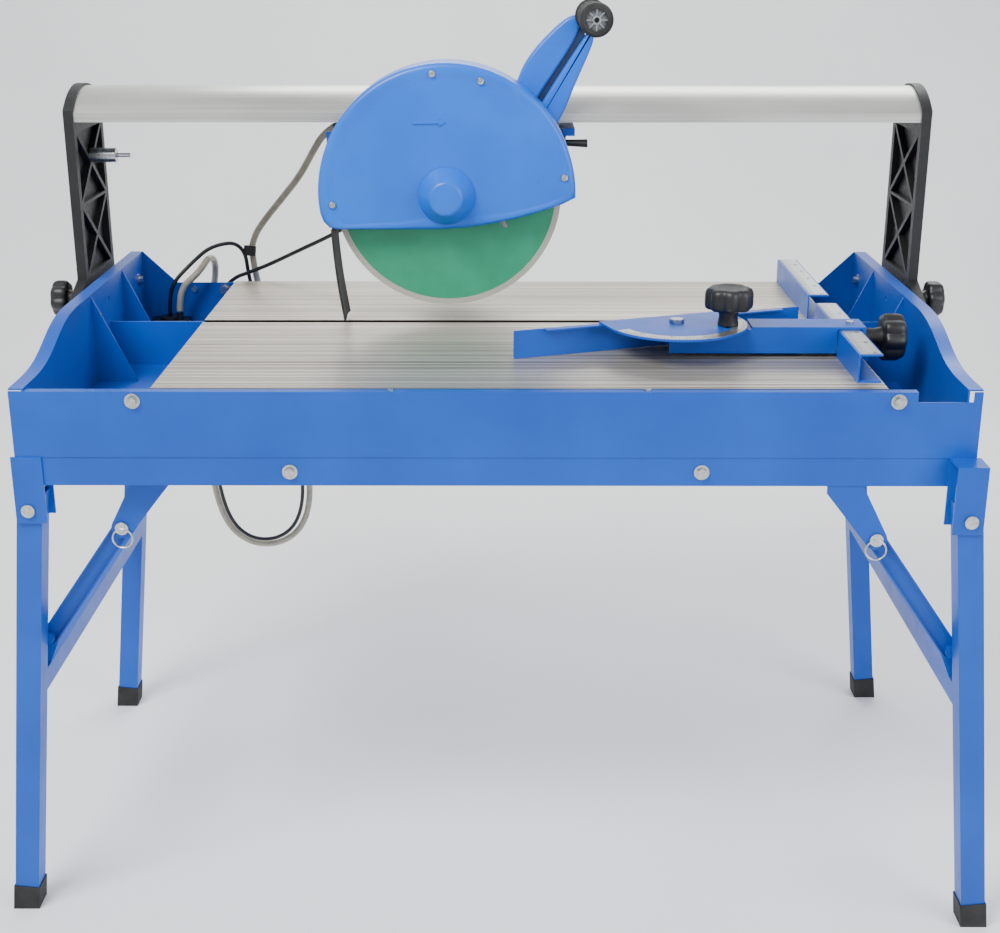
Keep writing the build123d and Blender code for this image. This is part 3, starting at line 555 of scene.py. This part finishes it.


# Cords: water hose and pump cable, each in an upper run and a hanging lower run

hoseUpper = {
    "node": "hose_upper",
    "radius": 5.0,
    "route": [
        (-0.226, 0.197, 0.939), (-0.244, 0.204, 0.928), (-0.264, 0.229, 0.898), (-0.287, 0.262, 0.861),
        (-0.322, 0.298, 0.82), (-0.354, 0.326, 0.783), (-0.372, 0.34, 0.757), (-0.376, 0.343, 0.74),
    ],
}
cableUpper = {
    "node": "cable_upper",
    "radius": 3.0,
    "route": [
        (-0.15, 0.24, 0.932), (-0.15, 0.244, 0.9), (-0.158, 0.256, 0.85), (-0.188, 0.28, 0.803),
        (-0.25, 0.302, 0.766), (-0.3, 0.319, 0.741), (-0.345, 0.332, 0.718), (-0.38, 0.339, 0.703),
        (-0.408, 0.343, 0.693), (-0.423, 0.345, 0.676),
    ],
}
hoseLower = {
    "node": "hose_lower",
    "lean": Vector((-0.034, 0, -0.026)),
    "radius": 5.0,
    "route": [
        (-0.3764, 0.3445, 0.737), (-0.376, 0.354, 0.702), (-0.364, 0.356, 0.65), (-0.346, 0.358, 0.58),
        (-0.326, 0.36, 0.5), (-0.31, 0.361, 0.41), (-0.304, 0.362, 0.33), (-0.32, 0.362, 0.274),
        (-0.358, 0.361, 0.246), (-0.404, 0.361, 0.246), (-0.442, 0.362, 0.276), (-0.46, 0.362, 0.336),
        (-0.466, 0.361, 0.416), (-0.468, 0.36, 0.5), (-0.465, 0.358, 0.584), (-0.454, 0.358, 0.632),
        (-0.44, 0.359, 0.678), (-0.435, 0.356, 0.716), (-0.439, 0.328, 0.73), (-0.448, 0.302, 0.715),
        (-0.46, 0.295, 0.703), (-0.474, 0.292, 0.691), (-0.481, 0.292, 0.671), (-0.482, 0.292, 0.652),
    ],
}
cableLower = {
    "node": "cable_lower",
    "radius": 3.0,
    "route": [
        (-0.424, 0.3455, 0.673), (-0.43, 0.347, 0.65), (-0.444, 0.35, 0.58), (-0.456, 0.351, 0.504),
        (-0.456, 0.352, 0.42), (-0.45, 0.353, 0.342), (-0.434, 0.353, 0.286), (-0.402, 0.352, 0.258),
        (-0.36, 0.352, 0.258), (-0.328, 0.353, 0.284), (-0.314, 0.353, 0.338), (-0.321, 0.352, 0.414),
        (-0.337, 0.351, 0.504), (-0.357, 0.349, 0.584), (-0.375, 0.348, 0.652), (-0.385, 0.348, 0.7),
        (-0.386, 0.341, 0.732), (-0.4, 0.336, 0.749), (-0.422, 0.334, 0.747), (-0.442, 0.33, 0.74),
        (-0.458, 0.321, 0.727), (-0.473, 0.312, 0.713), (-0.488, 0.304, 0.698), (-0.498, 0.301, 0.676),
        (-0.499, 0.301, 0.644),
    ],
}


for name, cord, material, stiffness in (
    ("hoseUpper", hoseUpper, hosePvc, "medium"),
    ("cableUpper", cableUpper, cablePvc, "limp"),
    ("hoseLower", hoseLower, hosePvc, "medium"),
    ("cableLower", cableLower, cablePvc, "limp"),
):
    obj, run, middle = tubeAlong(name, cord["route"], cord["radius"], material)
    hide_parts(cord["node"])
    if "Upper" in name:
        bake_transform(obj)
    elif "lean" in cord:
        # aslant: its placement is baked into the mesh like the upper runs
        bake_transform(obj)
    else:
        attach(obj, "root")
    print(name, "length", round(run, 4))
print("cords made")


# Guard: round shell open below, its rim rolled over, with a domed hub cover and screws

guard = {
    "middle": (-65.0, 869.5),
    "radius": 168.0,
    "front": 17.0,
    "rear": 83.0,
    "wall": 2.5,
    "edge": 7.0,
    "hole": 34.0,
    "skirt": 862.0,  # the shell is open underneath below this height
    "screws": [(-82, 1024), (-214, 858), (88, 893), (-20, 1015)],
}


def guardOutline():
    # (x, z) from the lower right end round over the top to the lower left and back along the skirt
    cx, cz = guard["middle"]
    arc = [radians(-1 + 184 * k / 72) for k in range(73)]
    points = [(cx + guard["radius"] * cos(a), cz + guard["radius"] * sin(a)) for a in arc]
    points += [(-231, 846), (-227, 835), (-219, 827), (-208, 825), (-140, 825), (-77, 825)]
    points += [(-40, 827.5), (-4, 833), (30, 840.5), (62, 850), (86, 858)]
    return points


def addGuardShell(bm):
    # front face, rolled edge and round side wall, lofted from the outline pulled in by steps
    outline = guardOutline()
    cx, cz = guard["middle"][0], guard["middle"][1] + 10
    steps = [(0, guard["rear"]), (0, guard["front"] + guard["edge"])]
    steps += [
        (guard["edge"] * (1 - cos(radians(a))), guard["front"] + guard["edge"] * (1 - sin(radians(a))))
        for a in (18, 36, 54, 72, 90)
    ]
    face = guard["front"] + 1.2
    steps += [(14, guard["front"]), (17, face), (21, face), (60, face)]
    # the rear wall runs in to a round hole for the motor's nose
    hub = []
    for x, z in outline:
        a = atan2(z - guard["middle"][1], x - guard["middle"][0])
        spot = (
            guard["middle"][0] + guard["hole"] * cos(a), guard["rear"],
            guard["middle"][1] + guard["hole"] * sin(a),
        )
        hub.append(bm.verts.new(Vector(spot) * mm))
    rings = [hub]
    for inset, y in steps:
        ring = []
        for x, z in outline:
            reach = max(1.0, ((x - cx) ** 2 + (z - cz) ** 2) ** 0.5)
            share = max(0.05, 1 - inset / reach)
            ring.append(bm.verts.new(Vector((cx + (x - cx) * share, y, cz + (z - cz) * share)) * mm))
        rings.append(ring)
    joinRings(bm, rings)
    # the underside stays open: the skirt's strip between the ends is taken away behind the front face
    bm.faces.new(rings[-1])
    bm.normal_update()
    low = [f for f in bm.faces if f.calc_center_median().y > (guard["front"] + guard["edge"]) * mm
           and all(v.co.z < guard["skirt"] * mm for v in f.verts) and abs(f.normal.z) > 0.3]
    bmesh.ops.delete(bm, geom=low, context="FACES")


bm = bmesh.new()
addGuardShell(bm)
bmesh.ops.recalc_face_normals(bm, faces=bm.faces[:])
shell = finishPiece("guardShell", bm, bluePlastic, "head", ["guard_shell"], sharp=50)
thick = shell.modifiers.new("wall", "SOLIDIFY")
thick.thickness = guard["wall"] * mm
thick.offset = -1

bm = bmesh.new()
addTurned(bm, (guard["middle"][0], guard["front"], guard["middle"][1]), (0, -1, 0), [
    (37, -1), (37, 0.6), (36.2, 2.4), (22.4, 25.4), (20.6, 27.2), (18, 27.8), (0, 27.9),
], steps=56)
finishPiece("guardDome", bm, bluePlastic, "head", ["guard_cover"], sharp=50)


def addScrew(bm, place, direction, radius):
    # pan head screw with a recess for the driver
    addTurned(bm, place, direction, [
        (radius, 0), (radius, radius * 0.35), (radius * 0.82, radius * 0.62), (radius * 0.45, radius * 0.72),
        (radius * 0.42, radius * 0.4), (0, radius * 0.4),
    ], steps=24)


bm = bmesh.new()
for x, z in guard["screws"]:
    addScrew(bm, (x, guard["front"] + 1.0, z), (0, -1, 0), 5)
finishPiece("guardScrews", bm, zinc, "head")

bm = bmesh.new()
arrow = {
    "middle": (-87, 963),
    "tilt": radians(2),
    "depth": 2.4,
    "edge": 0.5,
    "outline": [(22, 0), (13, 5), (13, 1.8), (-20, 1.4), (-22, 0), (-20, -1.4), (13, -1.8), (13, -5)],
}
ax, az = arrow["middle"]
tiltCos, tiltSin = cos(arrow["tilt"]), sin(arrow["tilt"])
addPlate(bm, [
    (ax + x * tiltCos - z * tiltSin, guard["front"] - 0.6, az + x * tiltSin + z * tiltCos)
    for x, z in arrow["outline"]
], arrow["depth"], arrow["edge"])
finishPiece("turnArrow", bm, bluePlastic, "head")
print("guard made")


# Handle: two bulged lobes on a web coloured dark as painted shade, with a ribbed grip


def smoothLoop(points, rounds):
    # corner cutting turns a coarse loop into a smooth one
    for _ in range(rounds):
        cut = []
        for k, p in enumerate(points):
            q = points[(k + 1) % len(points)]
            cut.append((p[0] * 0.75 + q[0] * 0.25, p[1] * 0.75 + q[1] * 0.25))
            cut.append((p[0] * 0.25 + q[0] * 0.75, p[1] * 0.25 + q[1] * 0.75))
        points = cut
    return points


def addLobe(bm, loop, front, rear, edge):
    # a plate with a generously rounded rim: rings pulled in towards the loop's own inner line
    count = len(loop)
    steps = [(0, rear), (0, front + edge)]
    steps += [
        (edge * (1 - cos(radians(a))), front + edge * (1 - sin(radians(a)))) for a in (22, 45, 67, 90)
    ]
    inward = []
    area = sum(p[0] * q[1] - q[0] * p[1] for p, q in zip(loop, loop[1:] + loop[:1]))
    turn = 1 if area > 0 else -1
    for k in range(count):
        before, after = Vector(loop[k - 1]), Vector(loop[(k + 1) % count])
        along = (after - before).normalized()
        inward.append(Vector((-along.y, along.x)) * turn)
    rings = []
    for inset, y in steps:
        rings.append([
            bm.verts.new(Vector((loop[k][0] + inward[k].x * inset, y, loop[k][1] + inward[k].y * inset)) * mm)
            for k in range(count)
        ])
    joinRings(bm, rings)
    bm.faces.new(rings[-1])
    bm.faces.new(list(reversed(rings[0])))


handle = {
    "left": [
        (-1, 932), (8, 960), (25, 1005), (37, 1034), (62, 1064), (96, 1094), (110, 1090), (106, 1068),
        (78, 1024), (52, 986), (36, 950), (26, 924), (12, 920),
    ],
    "right": [
        (48, 962), (66, 992), (92, 1032), (112, 1062), (122, 1074), (128, 1064), (122, 1046), (104, 1006),
        (86, 960), (64, 932), (42, 921), (32, 924), (36, 940),
    ],
    "web": [
        (6, 928), (12, 956), (30, 1002), (44, 1032), (66, 1058), (98, 1086), (118, 1074), (110, 1040),
        (94, 1000), (76, 958), (58, 932), (38, 922),
    ],
}
for name, loop, front, rear, edge, material in (
    ("handleArm", "left", 92.3, 107.5, 5.0, bluePlastic),
    ("handleArmRight", "right", 92.3, 107.5, 5.0, bluePlastic),
    # the recessed web takes the painted-shade copy of the blue plastic
    ("handleWeb", "web", 98.0, 107.8, 1.5, shadeGroovePlastic),
):
    bm = bmesh.new()
    addLobe(bm, smoothLoop(handle[loop], 3), front, rear, edge)
    finishPiece(name, bm, material, "head", ["handle_arm"] if loop == "left" else (), sharp=40)

grip = {"place": (122, 92, 1092), "way": (0, -1, 0), "ribs": 13, "spokes": 8}

# grip sleeve: shallow ribs, a ring flange at the far end, a grey star hub at the open end
bm = bmesh.new()
profile = [(15, -0.5), (20.4, 0), (20.8, 2), (20.8, 8), (17.5, 10)]
for k in range(grip["ribs"]):
    base = 12 + 8.4 * k
    profile += [(17.6, base), (18.6, base + 1.2), (18.6, base + 5.6), (17.6, base + 6.8)]
profile += [
    (17.6, 122), (20.9, 124), (20.9, 134), (20, 138), (17, 141.5), (13.5, 142), (13, 140.5), (13, 137),
]
addTurned(bm, grip["place"], grip["way"], profile, steps=40)
finishPiece("gripSleeve", bm, rubber, "head", ["handle_grip"], sharp=32)

bm = bmesh.new()
addTurned(bm, grip["place"], grip["way"], [
    (13.2, 136.5), (10, 137.5), (6, 138), (5.5, 141), (3.4, 141.8), (3, 140), (2.8, 128), (0, 128),
], steps=40)
for k in range(grip["spokes"]):
    spoke = bmesh.new()
    addBox(spoke, (5, -0.9, 136.8), (13.2, 0.9, 140.6), 0.4)
    turn = Matrix.Rotation(2 * pi * k / grip["spokes"], 4, "Z")
    addSmall(bm, spoke, Matrix.Translation(Vector(grip["place"]) * mm) @ turnedTo(grip["way"]) @ turn)
finishPiece("gripHub", bm, greyPlastic, "head", sharp=30)
print("handle made")


# Knobs: lobed grips of moulded nylon on their stems


def addLobed(bm, centre, direction, lobes, dip, profile, steps=10):
    # rings of (radius, height, share of the dip) in mm that swell into lobes, closed at both ends
    count = lobes * steps
    place = Matrix.Translation(Vector(centre) * mm) @ turnedTo(direction)
    rings = []
    for radius, height, depth in profile:
        ring = []
        for k in range(count):
            a = 2 * pi * k / count
            wave = (0.5 + 0.5 * cos(lobes * a)) ** 0.6
            r = (radius - dip * depth * (1 - wave)) * mm
            ring.append(bm.verts.new(place @ Vector((r * cos(a), r * sin(a), height * mm))))
        rings.append(ring)
    joinRings(bm, rings)
    bm.faces.new(list(reversed(rings[0])))
    bm.faces.new(rings[-1])


knobs = [
    {
        "name": "fenceStarKnob", "node": "fence_knob", "body": "fence_star_knob", "lobes": 8, "dip": 3.6,
        "place": (287, -127, 733.3), "way": (0, 0, 1), "head": 20, "high": 28, "radius": 30, "stem": 13,
    },
    {
        "name": "fenceEndKnob", "node": "fence_clamp_knob", "body": "fence_end_knob", "lobes": 8, "dip": 3.6,
        "place": (456.3, -115, 715), "way": (1, 0, 0), "head": 23.7, "high": 28, "radius": 30, "stem": 12.5,
    },
    {
        "name": "leftTiltKnob", "node": "left_tilt_knob", "body": "left_knob", "lobes": 7, "dip": 3.2,
        "place": (-581.4, 114, 712), "way": (-1, 0, 0), "head": 13.6, "high": 23, "radius": 25.5, "stem": 12,
    },
    {
        "name": "rightTiltKnob", "node": "right_tilt_knob", "body": "right_knob", "lobes": 7, "dip": 3.2,
        "place": (581.4, 114, 712), "way": (1, 0, 0), "head": 13.6, "high": 23, "radius": 25.5, "stem": 12,
    },
]
for knob in knobs:
    bm = bmesh.new()
    r, low, high = knob["radius"], knob["head"], knob["head"] + knob["high"]
    addTurned(bm, knob["place"], knob["way"], [
        (0, 0), (knob["stem"] - 1, 0), (knob["stem"], 1), (knob["stem"] - 1.5, low * 0.6),
        (knob["stem"] + 1, low + 1),
    ])
    addLobed(bm, knob["place"], knob["way"], knob["lobes"], knob["dip"], [
        (r - 9, low, 0.4), (r - 3, low + 0.6, 0.9), (r - 0.8, low + 2.4, 1),
        (r, low + 6, 1), (r, high - 9, 1),
        (r - 0.9, high - 5, 1), (r - 3, high - 2, 0.9), (r - 6.5, high - 0.6, 0.6), (r - 11, high, 0.15),
        (r - 14, high - 0.6, 0), (r - 16, high - 1.6, 0), (r - 17.5, high - 1.8, 0),
    ])
    finishPiece(knob["name"], bm, nylon, knob["body"], [knob["node"]], sharp=40)
print("knobs made")


# Scale strips with divisions and generic numbers


def addDigits(text, place, high, turn, thick):
    # thin figures lying flat, turned about +Z, as a mesh
    curve = bpy.data.curves.new("figures", "FONT")
    curve.body = text
    curve.size = high * mm
    curve.align_x = "CENTER"
    curve.align_y = "CENTER"
    curve.extrude = thick * mm
    obj = bpy.data.objects.new("figures", curve)
    mesh = bpy.data.meshes.new_from_object(obj)
    mesh.transform(Matrix.Translation(Vector(place) * mm) @ Matrix.Rotation(radians(turn), 4, "Z"))
    bpy.data.objects.remove(obj)
    bpy.data.curves.remove(curve)
    return mesh


def addFlat(bm, corners, z, thick):
    # a thin prism over a flat outline in mm, standing on z
    verts = [bm.verts.new(Vector((x, y, z)) * mm) for x, y in corners]
    face = bm.faces.new(verts)
    grown = bmesh.ops.extrude_face_region(bm, geom=[face])["geom"]
    top = [g for g in grown if isinstance(g, bmesh.types.BMVert)]
    bmesh.ops.translate(bm, verts=top, vec=(0, 0, thick * mm))


railScale = {
    "x": (425.0, 448.0), "top": 729.0, "thick": 0.5, "runs": [(-253, 11), (64, 307)],
    "edge": 4, "step": 5, "line": 0.6, "figureX": 442, "figure": 6.5,
}
bm = bmesh.new()
for start, stop in railScale["runs"]:
    x0, x1 = railScale["x"]
    addBox(bm, (x0, start, railScale["top"]), (x1, stop, railScale["top"] + railScale["thick"]))
finishPiece("stopScale", bm, stainless, "root")

bm = bmesh.new()
inkZ = railScale["top"] + railScale["thick"]
for start, stop in railScale["runs"]:
    count = int((stop - start - 2 * railScale["edge"]) // railScale["step"])
    for k in range(count + 1):
        y = start + railScale["edge"] + railScale["step"] * k
        reach = 11 if k % 10 == 0 else 8 if k % 2 == 0 else 5
        near, far = 425.5, 425.5 + reach
        half = railScale["line"] / 2
        addFlat(bm, [(near, y - half), (far, y - half), (far, y + half), (near, y + half)], inkZ, 0.08)
    for k in range(0, count + 1, 10):
        y = start + railScale["edge"] + railScale["step"] * k
        spot = (railScale["figureX"], y, inkZ + 0.02)
        figures = addDigits(str(abs(round(y / 10)) * 10), spot, railScale["figure"], 90, 0.04)
        bm.from_mesh(figures)
        bpy.data.meshes.remove(figures)
finishPiece("stopScaleMarks", bm, ink, "root")

# the protractor's arc of degrees, on the front half of its plate
arcScale = {
    "middle": (225.0, -115.0), "turn": 20.0, "z": 733.0, "inner": 70.0, "outer": 86.5, "thick": 0.25,
}
bm = bmesh.new()
cx, cy = arcScale["middle"]
ring = [radians(arcScale["turn"] + 188 + 164 * k / 48) for k in range(49)]
lowZ, highZ = arcScale["z"] * mm, (arcScale["z"] + arcScale["thick"]) * mm
band = []
for a in ring:
    near = Vector((cx + arcScale["inner"] * cos(a), cy + arcScale["inner"] * sin(a), 0)) * mm
    far = Vector((cx + arcScale["outer"] * cos(a), cy + arcScale["outer"] * sin(a), 0)) * mm
    corners = ((near, lowZ), (far, lowZ), (far, highZ), (near, highZ))
    band.append([bm.verts.new((p.x, p.y, z)) for p, z in corners])
joinRings(bm, band)
bm.faces.new(band[0])
bm.faces.new(list(reversed(band[-1])))
finishPiece("angleScale", bm, stainless, "protractor")

bm = bmesh.new()
for k in range(-75, 76, 3):
    a = radians(arcScale["turn"] + 270 + k)
    reach = 8 if k % 15 == 0 else 5
    across = Vector((-sin(a), cos(a))) * 0.3
    outward = Vector((cos(a), sin(a)))
    middle = Vector(arcScale["middle"])
    near, far = middle + outward * (85.5 - reach), middle + outward * 85.5
    corners = [near - across, far - across, far + across, near + across]
    addFlat(bm, [tuple(c) for c in corners], arcScale["z"] + arcScale["thick"], 0.08)
for k in range(-60, 61, 30):
    a = radians(arcScale["turn"] + 270 + k)
    spot = (cx + 74 * cos(a), cy + 74 * sin(a), arcScale["z"] + arcScale["thick"] + 0.02)
    figures = addDigits(str(abs(k)), spot, 6, arcScale["turn"] + k, 0.04)
    bm.from_mesh(figures)
    bpy.data.meshes.remove(figures)
finishPiece("angleScaleMarks", bm, ink, "protractor")
print("scales made")


# Small hardware: pull rings, water nozzles and tape


def addRing(bm, centre, axis, major, minor, steps=36, ring=10):
    # wire bent to a closed ring about an axis
    place = Matrix.Translation(Vector(centre) * mm) @ turnedTo(axis)
    rings = []
    for i in range(steps):
        a = radians(360 * i / steps)
        loop = []
        for k in range(ring):
            b = 2 * pi * k / ring
            r = (major + minor * cos(b)) * mm
            loop.append(bm.verts.new(place @ Vector((r * cos(a), r * sin(a), minor * sin(b) * mm))))
        rings.append(loop)
    joinRings(bm, rings + [rings[0]])


# pull rings of the elbow spring pins, hanging from each pin head
pullRing = {"x": 450, "y": {-1: 260.2, 1: 295.2}, "z": 501, "radius": 12, "wire": 1.2}
bm = bmesh.new()
for side in (-1, 1):
    for end in (-1, 1):
        spot = (side * pullRing["x"], end * pullRing["y"][side], pullRing["z"])
        addRing(bm, spot, (0.04, 1, 0), pullRing["radius"], pullRing["wire"])
finishPiece("elbowRings", bm, zinc, "root")

# water nozzles each side of the blade, turned in towards the cut
bm = bmesh.new()
for y in (34, 66):
    addTurned(bm, (4, y, 842), (0.45, 0, -1), [
        (0, -6), (5, -6), (5, 6), (3.8, 8), (3.8, 17), (2.4, 18), (0, 18),
    ], steps=20)
finishPiece("waterNozzles", bm, greyPlastic, "head")

# black tape that binds the cords behind the rear wall, pressed a little flat
bm = bmesh.new()
tape = {"place": (-380.2, 341, 728), "way": (0.1, 0.12, 1), "flatten": 0.8}
addTurned(bm, tape["place"], tape["way"], [
    (7.8, 0), (9.3, 0.4), (9.6, 8), (9.2, 15), (7.8, 15.4),
], steps=24)
middleY = tape["place"][1] * mm
for vert in bm.verts:
    vert.co.y = middleY + (vert.co.y - middleY) * tape["flatten"]
finishPiece("cordTape", bm, rubber, "bridge")
print("hardware made")


# Motor: cooling ribs along the housing, a vented end and its screws
motor = {"middle": (-65.0, 869.5), "radius": 58.0, "ribs": (112.0, 292.0), "end": 330.0}
bm = bmesh.new()
for k in range(24):
    a = 15 * k
    if a < 45 or a > 315:
        continue  # the switch box sits on this side
    rib = bmesh.new()
    low = (motor["radius"] - 1, motor["ribs"][0], -1.2)
    high = (motor["radius"] + 2.6, motor["ribs"][1], 1.2)
    addBox(rib, low, high, 0.5)
    cx, cz = motor["middle"]
    addSmall(bm, rib, Matrix.Translation(Vector((cx, 0, cz)) * mm) @ Matrix.Rotation(radians(-a), 4, "Y"))
finishPiece("motorRibs", bm, casting, "head")

bm = bmesh.new()
for r in (18, 26, 34, 42):
    spot = (motor["middle"][0], motor["end"], motor["middle"][1])
    addRing(bm, spot, (0, 1, 0), r, 1.4, steps=48, ring=8)
finishPiece("motorVents", bm, nylon, "head")

bm = bmesh.new()
for k in range(4):
    a = radians(45 + 90 * k)
    spot = (motor["middle"][0] + 50 * cos(a), motor["end"] - 0.3, motor["middle"][1] + 50 * sin(a))
    addScrew(bm, spot, (0, 1, 0), 4)
finishPiece("motorScrews", bm, zinc, "head")
print("motor details made")


# Splash flap: soft rubber sheet, bowed a little to the left, its free edge slightly wavy

flap = {"x": (-216.0, -203.0), "z": (824.3, 703.2), "y": (18.4, 81.6), "thick": 2.8, "bow": 5.0}
bm = bmesh.new()
rows, columns = 24, 12
wave = 0.7
grid = []
for i in range(rows + 1):
    t = i / rows
    line = []
    for k in range(columns + 1):
        s = k / columns
        x = flap["x"][0] + (flap["x"][1] - flap["x"][0]) * t - flap["bow"] * sin(pi * t) * 0.4
        y = flap["y"][0] + (flap["y"][1] - flap["y"][0]) * s
        z = flap["z"][0] + (flap["z"][1] - flap["z"][0]) * t + 0.8 * t * cos(3 * pi * s)
        line.append(bm.verts.new(Vector((x + wave * t * cos(2 * pi * s), y, z)) * mm))
    grid.append(line)
for a, b in zip(grid, grid[1:]):
    for k in range(columns):
        bm.faces.new((a[k], a[k + 1], b[k + 1], b[k]))
flapPiece = finishPiece("splashFlapSheet", bm, rubber, "head", ["splash_flap"])
thick = flapPiece.modifiers.new("thickness", "SOLIDIFY")
thick.thickness = flap["thick"] * mm
thick.offset = 0
print("flap made")


# Floor and light

backdrop = {"front": -6.0, "bend": 2.2, "radius": 0.7, "high": 4.5, "half": 7.0}
bm = bmesh.new()
bend, radius = backdrop["bend"], backdrop["radius"]
profile = [(backdrop["front"], 0.0), (bend, 0.0)]
profile += [
    (bend + radius * sin(radians(a)), radius * (1 - cos(radians(a)))) for a in range(10, 91, 10)
]
profile += [(bend + radius, backdrop["high"])]
strips = [[bm.verts.new((x, y, z)) for x in (-backdrop["half"], backdrop["half"])] for y, z in profile]
for a, b in zip(strips, strips[1:]):
    bm.faces.new((a[0], a[1], b[1], b[0])).smooth = True
mesh = bpy.data.meshes.new("floor")
bm.to_mesh(mesh)
bm.free()
floor = bpy.data.objects.new("floor", mesh)
bpy.context.scene.collection.objects.link(floor)


def studioFloor():
    # seamless white paper: matt, a trace of unevenness
    m, shader, coords = startMaterial("studioFloor", 0.85)
    clouds = addNode(m, "TexNoise", {"Vector": coords, "Scale": grain(600), "Detail": 3})
    setInputs(m, shader, {
        "Base Color": addNode(m, "ValToRGB", {"Fac": clouds}, [(0.3, "#EFEFEE"), (0.7, "#F6F6F5")]),
    })
    return m


mesh.materials.append(studioFloor())
world = bpy.data.worlds.new("world")
world.use_nodes = True
world.node_tree.nodes["Background"].inputs["Color"].default_value = hexColour("#E9EDF2")
world.node_tree.nodes["Background"].inputs["Strength"].default_value = 0.95
bpy.context.scene.world = world


def areaLight(name, place, target, size, power, tint="#FFFFFF"):
    data = bpy.data.lights.new(name, "AREA")
    data.shape = "RECTANGLE"
    data.size, data.size_y = size
    data.energy = power
    data.color = hexColour(tint)[:3]
    obj = bpy.data.objects.new(name, data)
    obj.location = place
    obj.rotation_euler = (Vector(target) - Vector(place)).to_track_quat("-Z", "Y").to_euler()
    bpy.context.scene.collection.objects.link(obj)


areaLight("keyLight", (-1.3, -1.6, 2.9), (0, 0, 0.6), (1.5, 1.1), 105)
areaLight("fillLight", (2.2, -1.6, 1.6), (0, 0, 0.6), (1.8, 1.8), 45, "#F4F7FF")
areaLight("backLight", (0.4, 2.2, 2.4), (0, 0, 0.7), (2.4, 1.0), 55)
print("lights set")

low, high = cadBounds
